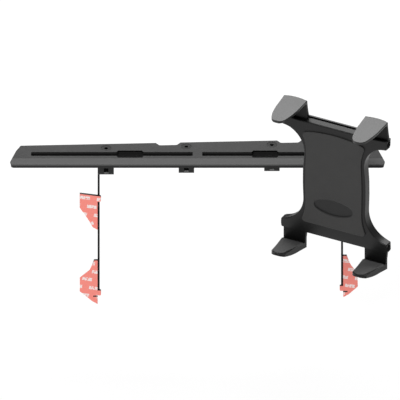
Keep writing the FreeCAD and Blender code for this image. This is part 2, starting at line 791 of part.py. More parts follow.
def side_bracket(label, x, side):
    """A lug bracket that carries on as a thin upright blade with two folded flags."""
    body = new_body(label)
    half = "Dim.blade_sheet / 2"
    middle = f"{side} * Dim.blade_offset"
    inner = f"{side} * -Dim.lug_half_width"
    low, high = (middle, inner) if side < 0 else (inner, middle)
    pad(body, "YZ_Plane", [lug_profile()], low, high)
    pad(body, "YZ_Plane", [blade_profile()], f"{middle} - {half}", f"{middle} + {half}")
    front = "-Dim.lug_front"
    flags = [upper_flag(side), lower_flag(side)]
    pad(body, "XZ_Plane", flags, front, f"{front} + Dim.blade_sheet")
    pierce_lug(body)
    place(body, x, screw_y(x), "0")
    return body


def flag_layer(label, x, shape, start, end):
    """A flat layer on the front of a flag, between two distances ahead of it."""
    body = new_body(label)
    pad(body, "XZ_Plane", [shape], f"-Dim.lug_front - ({end})", f"-Dim.lug_front - ({start})")
    place(body, x, screw_y(x), "0")
    return body


def tapes_and_liners():
    """Foam tape on each flag, and the liner that is peeled off it."""
    tape = "Dim.tape_thickness"
    liner = f"{tape} + Dim.liner_thickness"
    for side_name, side, x in (("left", -1, LUG_SCREWS[0]), ("right", 1, LUG_SCREWS[3])):
        for height, shape in (("upper", upper_flag), ("lower", lower_flag)):
            name = f"{height}_{side_name}"
            flag_layer(f"{name}_tape", x, shape(side, "Dim.tape_margin"), "0", tape)
            flag_layer(f"{name}_liner", x, shape(side, "Dim.liner_margin"), tape, liner)


# Slot nut and base ball

def slot_nut():
    """The nut that slides in the undercut, with a neck in the slot and a stud above it."""
    body = new_body("slot_nut")
    half_length = "Dim.slot_nut_length / 2"
    half_width = "Dim.slot_nut_width / 2"
    top = "(-Dim.lip_thickness - Dim.slot_nut_play)"
    block = box_points(f"-{half_length}", f"-{half_width}", half_length, half_width)
    pad(body, "XY_Plane", [block], f"{top} - Dim.slot_nut_height", top)
    dress(body, "Fillet", "Dim.slot_nut_corner", is_upright)
    half_neck = "(Dim.slot_width / 2 - Dim.slot_neck_play)"
    neck = box_points(f"-{half_neck}", f"-{half_neck}", half_neck, half_neck)
    pad(body, "XY_Plane", [neck], top, "-Dim.slot_neck_sink")
    pad(body, "XY_Plane", [("0", "0", "Dim.stud_radius")], top, "Dim.stud_above_plate")
    place(body, BASE_X, "0", "Dim.plate_thickness")
    return body


def base_washer():
    """A nylon washer between the base ball and the plate."""
    body = new_body("base_washer")
    bore = ("0", "0", "Dim.stud_radius + Dim.screw_clearance")
    high = "Dim.seat_gap + Dim.base_washer_thickness"
    pad(body, "XY_Plane", [("0", "0", "Dim.base_washer_radius"), bore], "Dim.seat_gap", high)
    place(body, BASE_X, "0", "Dim.plate_thickness")
    return body


def ball_profile(centre, low, flange, neck_top):
    """The turned outline of a ball on a neck and a flange, from the axis outwards."""
    reach = "sqrt(Dim.ball_radius * Dim.ball_radius - Dim.ball_neck_radius * Dim.ball_neck_radius)"
    return [
        ("0", low), (flange, low), (flange, neck_top),
        ("Dim.ball_neck_radius + Dim.neck_flare", f"{neck_top} + Dim.neck_step"),
        ("Dim.ball_neck_radius", f"{neck_top} + Dim.neck_rise"),
        ("Dim.ball_neck_radius", f"{centre} - {reach}", "Dim.ball_radius", "left"),
        ("Dim.ball_radius", centre, "Dim.ball_radius", "left"),
        ("0", f"{centre} + Dim.ball_radius"),
    ]


def base_ball():
    """The ball that screws down on the slot nut's stud, with a hexagon to hold it by."""
    body = new_body("base_ball")
    low = "(2 * Dim.seat_gap + Dim.base_washer_thickness)"
    neck_top = f"({low} + Dim.base_flange_height)"
    turn(body, "Revolution", ball_profile("Dim.ball_height", low, "Dim.base_flange_radius", neck_top))
    flats = [hexagon("Dim.base_hex_width"), ("0", "0", f"Dim.base_flange_radius + {LAP}")]
    cut(body, "XY_Plane", flats, f"{low} + Dim.base_collar_height", neck_top)
    bore = ("0", "0", "Dim.stud_radius + Dim.running_clearance")
    cut(body, "XY_Plane", [bore], low, "Dim.stud_above_plate + Dim.stud_room")
    place(body, BASE_X, "0", "Dim.plate_thickness")
    return body


# Arm

ARM_X = f"({BASE_X} - Dim.arm_length / 2 * sin(Dim.arm_yaw))"
ARM_Y = "(-Dim.arm_length / 2 * cos(Dim.arm_yaw))"


def place_in_arm(item, across="0"):
    """Put an item at a distance along the clamp axis, turned with the arm."""
    x = f"{ARM_X} + ({across}) * cos(Dim.arm_yaw)"
    y = f"{ARM_Y} - ({across}) * sin(Dim.arm_yaw)"
    place(item, x, y, BALL_Z, "-Dim.arm_yaw")


def arm_plate_outline():
    """The outer plate of an arm half from the side: two round ends and a waist."""
    reach = "Dim.arm_length / 2"
    end = "Dim.arm_end_radius"
    waist = "Dim.arm_waist_height"
    return [
        (f"-{reach}", f"-{end}"), ("0", f"-{waist}"), (reach, f"-{end}", end, "left"),
        (f"{reach} + {end}", "0", end, "left"), (reach, end), ("0", waist),
        (f"-{reach}", end, end, "left"), (f"-{reach} - {end}", "0", end, "left"),
    ]


def arm_half(label, side):
    """Half of the arm: a plate with a shallow socket at each end and a thick middle."""
    body = new_body(label)

    def across(start, end):
        low, high = (start, end) if side > 0 else (f"-({end})", f"-({start})")
        return low, high

    outline = arm_plate_outline()
    pad(body, "YZ_Plane", [outline], *across("Dim.arm_plate_inner", "Dim.arm_outer"))
    half, tall = "Dim.arm_block_half_length", "Dim.arm_block_half_height"
    block = box_points(f"-{half}", f"-{tall}", half, tall)
    pad(body, "YZ_Plane", [block], *across("Dim.arm_split", "Dim.arm_outer"))
    for end in ("-", ""):
        rim = (f"{end}Dim.arm_length / 2", "0", "Dim.socket_rim_radius + Dim.socket_rim_wall")
        start = "Dim.socket_rim_depth + Dim.socket_rim_lead"
        pad(body, "YZ_Plane", [rim], *across(start, "Dim.arm_plate_inner"))
    for end in ("-", ""):
        ball = body.newObject("PartDesign::SubtractiveSphere", f"socket_{label}")
        for feature in body.Origin.OriginFeatures:
            if feature.Role == "XY_Plane":
                ball.AttachmentSupport = [(feature, "")]
        ball.MapMode = "FlatFace"
        ball.setExpression("Radius", "Dim.ball_radius + Dim.socket_clearance")
        ball.setExpression("AttachmentOffset.Base.y", f"{end}Dim.arm_length / 2")
    hole = ("0", "0", "Dim.clamp_radius + Dim.clamp_hole_clearance")
    cut(body, "YZ_Plane", [hole], *across("0", "Dim.arm_outer"))
    pocket = ("0", "0", "Dim.arm_spring_radius + Dim.spring_pocket_clearance")
    cut(body, "YZ_Plane", [pocket], *across("0", "Dim.arm_split + Dim.spring_pocket_depth"))
    if side > 0:
        seat = hexagon("Dim.clamp_head_width + 2 * Dim.clamp_hole_clearance")
        cut(body, "YZ_Plane", [seat], *across("Dim.arm_outer - Dim.clamp_head_sink", "Dim.arm_outer"))

    def outer_rim(edge):
        face = value("Dim.arm_outer") * side
        flat = abs(edge.BoundBox.XMin - face) + abs(edge.BoundBox.XMax - face) < FLUSH
        middle = edge.valueAt((edge.FirstParameter + edge.LastParameter) / 2)
        return flat and math.hypot(middle.y, middle.z) > value("Dim.clamp_head_width * 0.65")

    dress(body, "Fillet", "Dim.arm_edge_radius", outer_rim)
    place_in_arm(body)
    return body


def arm_bolt():
    """The clamp bolt, its hexagon head sunk in the right half, running out through the knob."""
    body = new_body("arm_bolt")
    seat = "(Dim.arm_outer - Dim.clamp_head_sink)"
    pad(body, "YZ_Plane", [hexagon("Dim.clamp_head_width")], seat, f"{seat} + Dim.clamp_head_height")
    pad(body, "YZ_Plane", [("0", "0", "Dim.clamp_radius")], "-Dim.clamp_end", seat)
    place_in_arm(body)
    return body


def arm_washer():
    """The washer under the knob."""
    body = new_body("arm_washer")
    bore = ("0", "0", "Dim.clamp_radius + Dim.clamp_hole_clearance")
    rings = [("0", "0", "Dim.arm_washer_radius"), bore]
    pad(body, "YZ_Plane", rings, "-(Dim.arm_outer + Dim.arm_washer_thickness)", "-Dim.arm_outer")
    place_in_arm(body)
    return body


def arm_spring():
    """The coil spring round the bolt, which parts the two halves when the knob is loosened."""
    length = value("2 * (Dim.arm_split + Dim.spring_pocket_depth - Dim.arm_spring_wire / 2 - Dim.seat_gap)")
    radius = value("Dim.arm_spring_radius - Dim.arm_spring_wire / 2")
    helix = Part.makeHelix(length / value("Dim.arm_spring_turns"), length, radius)
    start = FreeCAD.Vector(radius, 0, 0)
    section = Part.makeCircle(value("Dim.arm_spring_wire / 2"), start, FreeCAD.Vector(0, 1, 0))
    coil = Part.Wire(helix.Edges).makePipeShell([Part.Wire([section])], True, True)
    spring = doc.addObject("Part::Feature", "arm_spring")
    spring.Label = "arm_spring"
    spring.Shape = coil
    lay_down = FreeCAD.Rotation(FreeCAD.Vector(0, 1, 0), 90)
    middle = FreeCAD.Vector(value(ARM_X), value(ARM_Y), value(BALL_Z))
    facing = FreeCAD.Rotation(FreeCAD.Vector(0, 0, 1), -value("Dim.arm_yaw"))
    back = FreeCAD.Placement(FreeCAD.Vector(-length / 2, 0, 0), lay_down)
    spring.Placement = FreeCAD.Placement(middle, facing).multiply(back)
    return spring


def arm_knob():
    """The scalloped clamp knob, turned and then fluted round its rim."""
    body = new_body("arm_knob")
    low = "(Dim.knob_hub_height)"
    high = "Dim.knob_height"
    edge = "Dim.knob_edge_radius"
    turn(body, "Revolution", [
        ("0", "0"), ("Dim.knob_hub_radius", "0"), ("Dim.knob_hub_radius", low),
        ("Dim.knob_radius", f"{low} + {edge}"), ("Dim.knob_radius", f"{high} - {edge}", edge, "left"),
        (f"Dim.knob_radius - {edge}", high), ("0", high),
    ])
    scallop = ("Dim.knob_scallop_offset", "0", "Dim.knob_scallop_radius")
    flute = cut(body, "XY_Plane", [scallop], "0", high)
    ring = body.newObject("PartDesign::PolarPattern", "flutes_arm_knob")
    ring.Originals = [flute]
    for feature in body.Origin.OriginFeatures:
        if feature.Role == "Z_Axis":
            ring.Axis = (feature, [""])
    ring.Angle = 360
    ring.setExpression("Occurrences", "Dim.knob_scallops")
    body.Tip = ring
    insert = ("0", "0", "Dim.insert_radius")
    cut(body, "XY_Plane", [insert], "0", "Dim.insert_length")
    bore = ("0", "0", "Dim.clamp_radius + Dim.clamp_hole_clearance")
    cut(body, "XY_Plane", [bore], "0", "Dim.clamp_end - Dim.arm_outer + Dim.stud_room")
    place_knob(body)
    return body


def place_knob(item):
    """The knob's axis is the clamp axis, and it stands off the washer by the seat gap."""
    across = "-(Dim.arm_outer + Dim.arm_washer_thickness + Dim.seat_gap)"
    x = f"{ARM_X} + ({across}) * cos(Dim.arm_yaw)"
    y = f"{ARM_Y} - ({across}) * sin(Dim.arm_yaw)"
    where = f"placement(vector({x}; {y}; {BALL_Z}); rotation(-Dim.arm_yaw; -90; 0))"
    item.setExpression("Placement", where)


def knob_insert():
    """The brass thread moulded into the knob."""
    body = new_body("knob_insert")
    bore = ("0", "0", "Dim.clamp_radius + Dim.running_clearance")
    pad(body, "XY_Plane", [("0", "0", "Dim.insert_radius"), bore], "0", "Dim.insert_length")
    place_knob(body)
    return body


# Holder shells and pad

def hourglass(waist, end, height, end_height, start):
    """The outline of the holder from the front: two wide arms joined by a narrow waist."""
    step = f"(({end}) - ({waist}))"
    rise = f"(({height}) - ({end_height}) - ({start}))"
    arc = f"({step} * {step} + {rise} * {rise}) / (2 * {step})"
    shoulder = f"({height}) - ({end_height})"
    return [
        (end, f"-({height})"), (end, f"-({shoulder})", arc, "right"),
        (waist, f"-({start})"), (waist, start, arc, "right"), (end, shoulder), (end, height),
        (f"-({end})", height), (f"-({end})", shoulder, arc, "right"),
        (f"-({waist})", start), (f"-({waist})", f"-({start})", arc, "right"),
        (f"-({end})", f"-({shoulder})"), (f"-({end})", f"-({height})"),
    ]


def shell_outline(inset="0"):
    """The shells' outline, drawn in by an inset."""
    return hourglass(
        f"Dim.waist_half_width - ({inset})", f"Dim.arm_half_width - ({inset})",
        f"Dim.holder_half_height - ({inset})", f"Dim.arm_end_height - 2 * ({inset})",
        "Dim.flare_start",
    )


BOSSES = [(f"{sign}(Dim.waist_half_width - Dim.boss_inset)", rise) for sign in ("-", "")
          for rise in ("Dim.upper_boss_rise", "Dim.lower_boss_rise")]
GRIP_CENTRE = "(Dim.arm_half_width - Dim.finger_half_width - Dim.grip_margin)"


def grip_windows(half_width, low, high):
    """The two windows in the top or bottom wall that the grips pass through."""
    windows = []
    reach = f"({half_width} + Dim.grip_play)"
    for _, side in GRIP_SIDES:
        middle = f"{side} * {GRIP_CENTRE}"
        windows.append(box_points(f"{middle} - {reach}", low, f"{middle} + {reach}", high))
    return windows


def front_slant():
    """What the slant takes off the front of the lower band, from the side."""
    slope = "Dim.slant_depth / (Dim.holder_half_height - Dim.slant_start)"
    end = f"(Dim.holder_half_height + {LAP})"
    return [
        ("0", "-Dim.slant_start"), (f"-{LAP}", "-Dim.slant_start"), (f"-{LAP}", f"-{end}"),
        (f"({end} - Dim.slant_start) * {slope}", f"-{end}"),
    ]


def front_shell():
    """The front housing: a tray with open arm ends, grip windows and a slit for the carriage."""
    body = new_body("front_shell")
    depth, wall = "Dim.shell_depth", "Dim.shell_wall"
    pad(body, "XZ_Plane", [shell_outline()], "0", depth)

    def arm_corner(edge):
        across = abs(edge.BoundBox.XMax + edge.BoundBox.XMin) / 2
        return edge.BoundBox.YLength > 1 and abs(across - value("Dim.arm_half_width")) < FLUSH

    def front_rim(edge):
        return abs(edge.BoundBox.YMax) + abs(edge.BoundBox.YMin) < FLUSH

    dress(body, "Fillet", "Dim.arm_corner_radius", arm_corner)
    dress(body, "Fillet", "Dim.shell_front_radius", front_rim)
    span = f"(Dim.arm_half_width + {LAP})"
    cut(body, "YZ_Plane", [front_slant()], f"-{span}", span)
    room = hourglass(
        "Dim.waist_half_width - Dim.flank_wall", "Dim.arm_half_width",
        "Dim.holder_half_height - Dim.top_wall_height",
        "Dim.arm_end_height - Dim.arm_rim - Dim.top_wall_height", "Dim.flare_start",
    )
    cut(body, "XZ_Plane", [room], wall, depth)
    high = f"Dim.holder_half_height + {CUT}"
    inside = f"(Dim.holder_half_height - Dim.top_wall_height - {LAP})"
    slit = box_points(f"-Dim.arm_half_width - {LAP}", inside, f"Dim.arm_half_width + {LAP}", high)
    cut(body, "XZ_Plane", [slit], "Dim.top_wall_depth", depth)
    cut(body, "XZ_Plane", grip_windows("Dim.finger_half_width", inside, high), wall, depth)
    legs = grip_windows("Dim.leg_half_width", f"-({high})", f"-{inside}")
    cut(body, "XZ_Plane", legs, wall, f"{LEG_REAR} + Dim.grip_play")
    posts = [(x, z, "Dim.boss_radius") for x, z in BOSSES]
    pad(body, "XZ_Plane", posts, wall, depth)
    hooks = [(f"{sign}Dim.spring_x", "Dim.spring_low", "Dim.spring_post_radius") for sign in ("-", "")]
    pad(body, "XZ_Plane", hooks, wall, "Dim.top_wall_depth")
    pilots = [(x, z, "Dim.shell_screw_radius + Dim.thread_clearance") for x, z in BOSSES]
    cut(body, "XZ_Plane", pilots, pilot_end(BACK, "Dim.shell_screw_length"), depth)
    pilots = [(x, z, "Dim.grip_screw_radius + Dim.thread_clearance") for x, z in leg_screw_spots()]
    cut(body, "XZ_Plane", pilots, pilot_end(LEG_REAR, "Dim.leg_screw_length"), wall)
    place_in_holder(body)
    return body


def back_shell():
    """The flat rear cover, drawn in a little from the front housing."""
    body = new_body("back_shell")
    low = "Dim.shell_depth"
    pad(body, "XZ_Plane", [shell_outline("Dim.back_inset")], low, BACK)

    def back_rim(edge):
        face = value(BACK)
        return abs(edge.BoundBox.YMax - face) + abs(edge.BoundBox.YMin - face) < FLUSH

    dress(body, "Chamfer", "Dim.back_edge_bevel", back_rim)
    sunk_holes(body, BOSSES, "Dim.shell_screw_radius", "Dim.shell_screw_head_radius", low, BACK)
    pilots = [(x, z, "Dim.ball_plate_screw_radius + Dim.thread_clearance") for x, z in plate_holes()]
    end = pilot_end(f"({BACK} + Dim.ball_plate_thickness)", "Dim.ball_plate_screw_length")
    cut(body, "XZ_Plane", pilots, end, BACK)
    place_in_holder(body)
    return body


def front_pad():
    """The raised soft pad: flared sides, a crowned top edge and a bare oval recess."""
    body = new_body("front_pad")
    side, start = "(Dim.waist_half_width - Dim.pad_side_inset)", "Dim.pad_flare_start"
    wide = f"({side} + Dim.pad_flare)"
    high, low = "Dim.pad_corner_rise", "Dim.pad_foot_fall"
    step = "Dim.pad_flare"

    def flare(rise):
        return f"({step} * {step} + ({rise} - {start}) * ({rise} - {start})) / (2 * {step})"

    crown = f"({wide} * {wide} + Dim.pad_crown * Dim.pad_crown) / (2 * Dim.pad_crown)"
    outline = [
        (f"-{wide}", f"-{low}"), (wide, f"-{low}", flare(low), "right"), (side, f"-{start}"),
        (side, start, flare(high), "right"), (wide, high, crown, "left"),
        (f"-{wide}", high, flare(high), "right"), (f"-{side}", start),
        (f"-{side}", f"-{start}", flare(low), "right"),
    ]
    pad(body, "XZ_Plane", [outline], "-Dim.pad_height", "0")

    def pad_corner(edge):
        across = abs(edge.BoundBox.XMax + edge.BoundBox.XMin) / 2
        return edge.BoundBox.YLength > 1 and abs(across - value(wide)) < FLUSH

    dress(body, "Fillet", "Dim.pad_corner", pad_corner)

    def front_rim(edge):
        face = value("-Dim.pad_height")
        return abs(edge.BoundBox.YMax - face) + abs(edge.BoundBox.YMin - face) < FLUSH

    dress(body, "Fillet", "Dim.pad_edge_radius", front_rim)
    cut(body, "XZ_Plane", [oval()], "-Dim.pad_height", "-Dim.pad_height + Dim.oval_depth")
    place_in_holder(body)
    return body


def oval():
    """An oval of four arcs: two small ends and two long sides, tangent to each other."""
    end = "Dim.oval_end_radius"
    run = f"(Dim.oval_half_length - {end})"
    slack = f"(Dim.oval_half_height - {end})"
    drop = f"(({run} * {run} - {slack} * {slack}) / (2 * {slack}))"
    big = f"(Dim.oval_half_height + {drop})"
    out = f"({run} + {end} * {run} / ({big} - {end}))"
    up = f"({end} * {drop} / ({big} - {end}))"
    middle = "-Dim.oval_fall"
    return [
        (out, f"{middle} - {up}", end, "left"),
        ("Dim.oval_half_length", middle, end, "left"),
        (out, f"{middle} + {up}", big, "left"),
        (f"-{out}", f"{middle} + {up}", end, "left"),
        ("-Dim.oval_half_length", middle, end, "left"),
        (f"-{out}", f"{middle} - {up}", big, "left"),
    ]


# Grips: two fingers on the carriage and two legs on the housing

FINGER_ROOT = "(Dim.holder_half_height - Dim.grip_overlap)"
LEG_ROOT = "(-Dim.holder_half_height + Dim.grip_overlap)"
CARRIAGE_FRONT = "(Dim.shell_depth - Dim.carriage_play - Dim.carriage_thickness)"
CARRIAGE_REAR = "(Dim.shell_depth - Dim.carriage_play)"
LEG_REAR = "(Dim.shell_wall + Dim.grip_web)"
# Each kind of grip: way from the fold to its tip, web rear, root, fold, half width, slopes of
# the outer and inner face, tip thickness
FINGER = {
    "way": "1", "rear": CARRIAGE_FRONT, "root": FINGER_ROOT, "fold": "Dim.finger_top",
    "half": "Dim.finger_half_width", "outer": "tan(Dim.finger_tilt_angle)",
    "inner": "tan(Dim.finger_tilt_angle)", "thick": "Dim.finger_tip_thickness",
    "bulge": "Dim.finger_bulge",
}
LEG = {
    "way": "-1", "rear": LEG_REAR, "root": LEG_ROOT, "fold": "(-Dim.leg_bottom)",
    "half": "Dim.leg_half_width", "outer": "tan(Dim.leg_outer_tilt_angle)",
    "inner": "tan(Dim.leg_inner_tilt_angle)", "thick": "Dim.leg_tip_thickness",
    "bulge": None,
}


def outer_height(kind, depth):
    """The height of a tongue's outer face at a depth behind the housing's front."""
    return f"({kind['fold']} - {kind['way']} * ({kind['rear']} - ({depth})) * {kind['outer']})"


def inner_height(kind, depth):
    """The height of a tongue's inner face, which the tablet rests against, at a depth."""
    tip = f"({outer_height(kind, '-Dim.grip_reach')} - {kind['way']} * {kind['thick']})"
    return f"({tip} + {kind['way']} * (Dim.grip_reach + ({depth})) * {kind['inner']})"


def grip_profile(kind):
    """A grip from the side: an upright web, folded into a tongue that slopes to the tablet."""
    rear = kind["rear"]
    front = f"({rear} - Dim.grip_web)"
    tip = "-Dim.grip_reach"
    outline = [(rear, kind["root"])]
    if kind["bulge"]:
        behind = f"({rear} + {kind['bulge']})"
        under = f"({kind['fold']} - {kind['way']} * {kind['thick']})"
        outline += [(rear, under), (behind, under), (behind, outer_height(kind, behind))]
    else:
        outline.append((rear, kind["fold"]))
    return outline + [
        (tip, outer_height(kind, tip)), (tip, inner_height(kind, tip)),
        (front, inner_height(kind, front)), (front, kind["root"]),
    ]


def tongue_trim(kind):
    """What is cut away round a tongue, seen from above: it narrows to a tip with round corners."""
    half, rear = kind["half"], kind["rear"]
    outside = f"({half} + {LAP})"
    ahead = f"(-Dim.grip_reach - {LAP})"
    corner = "Dim.tip_corner_radius"
    tip = f"({half} - Dim.tip_narrowing)"
    side = f"(-Dim.grip_reach + {corner})"
    return [
        (f"-{outside}", ahead), (outside, ahead), (outside, rear), (half, rear),
        (tip, side, corner, "right"), (f"{tip} - {corner}", "-Dim.grip_reach"),
        (f"-({tip} - {corner})", "-Dim.grip_reach", corner, "right"), (f"-{tip}", side),
        (f"-{half}", rear), (f"-{outside}", rear),
    ]


def bulge_trim(kind):
    """What is cut away behind a fold whose rear edge is an arc."""
    half, rear, bulge = kind["half"], kind["rear"], kind["bulge"]
    radius = f"(({half} * {half} + {bulge} * {bulge}) / (2 * {bulge}))"
    behind = f"({rear} + {bulge} + {LAP})"
    return [(half, rear, radius, "left"), (f"-{half}", rear), (f"-{half}", behind), (half, behind)]


def grip(label, side, kind):
    """One L-shaped grip: folded profile, trimmed tongue and softened edges."""
    body = new_body(label)
    half, rear = kind["half"], kind["rear"]
    pad(body, "YZ_Plane", [grip_profile(kind)], f"-{half}", half)
    reach = "(Dim.finger_top + Dim.leg_bottom)"
    cut(body, "XY_Plane", [tongue_trim(kind)], f"-{reach}", reach)
    if kind["bulge"]:
        cut(body, "XY_Plane", [bulge_trim(kind)], f"-{reach}", reach)

    def tongue_edge(edge):
        middle = edge.valueAt((edge.FirstParameter + edge.LastParameter) / 2)
        if middle.y > value(f"{rear} - Dim.grip_web") - 1:
            return False
        return not is_upright(edge)

    dress(body, "Fillet", "Dim.grip_edge_radius", tongue_edge)
    spots = [(f"{sign}Dim.grip_screw_spread", screw_height(kind)) for sign in ("-", "")]
    if kind is LEG:
        front = f"({rear} - Dim.grip_web)"
        sunk_holes(body, spots, "Dim.grip_screw_radius", "Dim.grip_screw_head_radius", front, rear)
    else:
        pilots = [(x, z, "Dim.grip_screw_radius + Dim.thread_clearance") for x, z in spots]
        end = pilot_end(CARRIAGE_REAR, "Dim.finger_screw_length")
        cut(body, "XZ_Plane", pilots, end, rear)
    place_in_holder(body, f"{side} * {GRIP_CENTRE}")
    return body


def screw_height(kind):
    """The grips' screws stand half way up the stretch that the housing covers."""
    return f"({kind['root']} + {kind['way']} * Dim.carriage_bar_height / 2)"


def grip_pad(label, side, kind):
    """The thin rubber pad on the tablet side of a tongue."""
    body = new_body(label)
    inset, corner = "Dim.grip_pad_inset", "Dim.tip_corner_radius"
    root = f"({kind['half']} - {inset})"
    tip = f"({root} - Dim.tip_narrowing)"
    run = f"((Dim.grip_reach - {inset}) * sqrt(1 + {kind['inner']} * {kind['inner']}))"
    outline = [
        (f"-{root}", f"-{inset}"), (f"-{tip}", f"-({run} - {corner})", corner, "left"),
        (f"-({tip} - {corner})", f"-{run}"), (f"{tip} - {corner}", f"-{run}", corner, "left"),
        (tip, f"-({run} - {corner})"), (root, f"-{inset}"),
    ]
    is_leg = kind is LEG
    thick = "Dim.grip_pad_thickness"
    low, high = ("0", thick) if is_leg else (f"-{thick}", "0")
    pad(body, "XY_Plane", [outline], low, high)
    tilt = "-Dim.leg_inner_tilt_angle" if is_leg else "Dim.finger_tilt_angle"
    place_in_holder(body, f"{side} * {GRIP_CENTRE}", "0", inner_height(kind, "0"), tilt)
    return body


def grips():
    """The two fingers, the two legs and their pads."""
    for name, side in GRIP_SIDES:
        grip(f"upper_{name}_finger", side, FINGER)
        grip_pad(f"upper_{name}_finger_pad", side, FINGER)
        grip(f"lower_{name}_leg", side, LEG)
        grip_pad(f"lower_{name}_leg_pad", side, LEG)


# Carriage and springs

def carriage_plate():
    """The sliding plate: a bar across both arms and a tail that is guided in the waist."""
    body = new_body("carriage_plate")
    bar, tail = "(Dim.arm_half_width - Dim.carriage_bar_inset)", "Dim.carriage_tail_half_width"
    low, high = FINGER_ROOT, f"({FINGER_ROOT} + Dim.carriage_bar_height)"
    outline = [
        (f"-{tail}", "Dim.carriage_tail_end"), (tail, "Dim.carriage_tail_end"),
        (tail, low), (bar, low), (bar, high), (f"-{bar}", high), (f"-{bar}", low), (f"-{tail}", low),
    ]
    pad(body, "XZ_Plane", [outline], CARRIAGE_FRONT, CARRIAGE_REAR)
    pins = [(f"{sign}Dim.spring_x", "Dim.spring_pin_height", "Dim.spring_post_radius")
            for sign in ("-", "")]
    pad(body, "XZ_Plane", pins, "Dim.shell_wall + Dim.spring_front_gap", CARRIAGE_FRONT)
    sunk_holes(body, finger_screw_spots(), "Dim.grip_screw_radius", "Dim.grip_screw_head_radius",
               CARRIAGE_FRONT, CARRIAGE_REAR)
    place_in_holder(body)
    return body


def finger_screw_spots():
    """Where the fingers are screwed to the carriage."""
    height = f"({FINGER_ROOT} + Dim.carriage_bar_height / 2)"
    return [(f"{side} * {GRIP_CENTRE} {sign} Dim.grip_screw_spread", height)
            for _, side in GRIP_SIDES for sign in ("-", "+")]


def springs():
    """The two springs in front of the tail, from the housing's posts to the tail's pins. Each is
    a plain rod as wide as the coils, with an eye at both ends."""
    depth = "(Dim.shell_wall + Dim.spring_front_gap + Dim.spring_radius)"
    low = "(Dim.spring_low + Dim.spring_eye_radius - Dim.spring_eye_lap)"
    high = "(Dim.spring_pin_height - Dim.spring_eye_radius + Dim.spring_eye_lap)"
    front = f"{depth} - Dim.spring_eye_thickness / 2"
    rear = f"{depth} + Dim.spring_eye_thickness / 2"
    ends = ("Dim.spring_low", "Dim.spring_pin_height")
    for name, side in GRIP_SIDES:
        body = new_body(f"{name}_spring")
        x = f"{side} * Dim.spring_x"
        pad(body, "XY_Plane", [(x, depth, "Dim.spring_radius")], low, high)
        eyes = [(x, height, "Dim.spring_eye_radius") for height in ends]
        pad(body, "XZ_Plane", eyes, front, rear)
        bore = "Dim.spring_post_radius + Dim.spring_eye_play"
        holes = [(x, height, bore) for height in ends]
        cut(body, "XZ_Plane", holes, front, rear)
        place_in_holder(body)


# Screws of the holder

def short_screw(name, radius, head_radius, length):
    """A countersunk screw that points to the front, its head face at the origin."""
    body = new_body(name)
    throat = f"({head_radius} - {radius})"
    turn(body, "Revolution", [
        ("0", f"-{length}"), (f"{radius} / 2", f"-{length}"),
        (radius, f"-{length} + Dim.screw_point"), (radius, f"-{throat}"),
        (head_radius, "0"), ("0", "0"),
    ])
    return body


def sunk_holes(body, spots, radius, head_radius, low, high):
    """Screw holes right through, each widened at the rear so that the head lies below it."""
    holes = [(x, z, f"{radius} + Dim.screw_clearance") for x, z in spots]
    cut(body, "XZ_Plane", holes, low, high)
    heads = [(x, z, f"{head_radius} + Dim.head_clearance") for x, z in spots]
    deep = f"({head_radius} - {radius} + Dim.head_sink + Dim.seat_gap)"
    cut(body, "XZ_Plane", heads, f"{high} - {deep}", high)


def pilot_end(rear, length):
    """Where the pilot hole of a screw ends, a little past the tip. The head lies below rear."""
    return f"({rear} - Dim.head_sink - {length} - Dim.pilot_room)"


def holder_screws(label, radius, head_radius, length, rear, spots):
    """A group of equal screws in the holder, heads to the rear and just below that face."""
    master = short_screw(f"{label}_form", radius, head_radius, length)
    place_in_holder(master, "0", f"{rear} - Dim.head_sink", "0", "-90")
    return group(label, master, [(x, f"-({z})", "0") for x, z in spots])


def plate_holes():
    """The four screw holes of the ball plate."""
    half = "Dim.ball_plate_hole_spacing / 2"
    return [(f"{a}{half}", f"Dim.ball_above_centre {b} {half}") for a in ("-", "") for b in ("-", "+")]


def leg_screw_spots():
    """Where the legs are screwed to the housing."""
    height = screw_height(LEG)
    return [(f"{side} * {GRIP_CENTRE} {sign} Dim.grip_screw_spread", height)
            for _, side in GRIP_SIDES for sign in ("-", "+")]


# Ball plate and holder ball

def ball_plate():
    """The square plate on the back, with rounded corners, screw holes and a centre hole."""
    body = new_body("ball_plate")
    half, corner = "Dim.ball_plate_half", "Dim.ball_plate_corner"
    middle = "Dim.ball_above_centre"
    outline = rounded_box(f"-{half}", f"{middle} - {half}", half, f"{middle} + {half}", corner)
    rear = f"({BACK} + Dim.ball_plate_thickness)"
    pad(body, "XZ_Plane", [outline], BACK, rear)
    centre = ("0", middle, "Dim.holder_stud_radius + Dim.running_clearance")
    cut(body, "XZ_Plane", [centre], BACK, rear)
    sunk_holes(body, plate_holes(), "Dim.ball_plate_screw_radius", "Dim.ball_plate_head_radius",
               BACK, rear)
    place_in_holder(body)
    return body


def holder_ball():
    """The ball behind the holder, its stud held in the ball plate."""
    body = new_body("holder_ball")
    low = f"({BACK} + Dim.ball_plate_thickness + Dim.seat_gap - {BALL_DEPTH})"
    collar = "(Dim.holder_stud_radius + Dim.holder_collar)"
    neck_top = f"({low} + Dim.holder_collar_height)"
    turn(body, "Revolution", ball_profile("0", low, collar, neck_top))
    stud = ("0", "0", "Dim.holder_stud_radius")
    pad(body, "XY_Plane", [stud], f"{low} - Dim.ball_plate_thickness", low)
    place_in_holder(body, "0", BALL_DEPTH, "Dim.ball_above_centre", "-90")
    return body


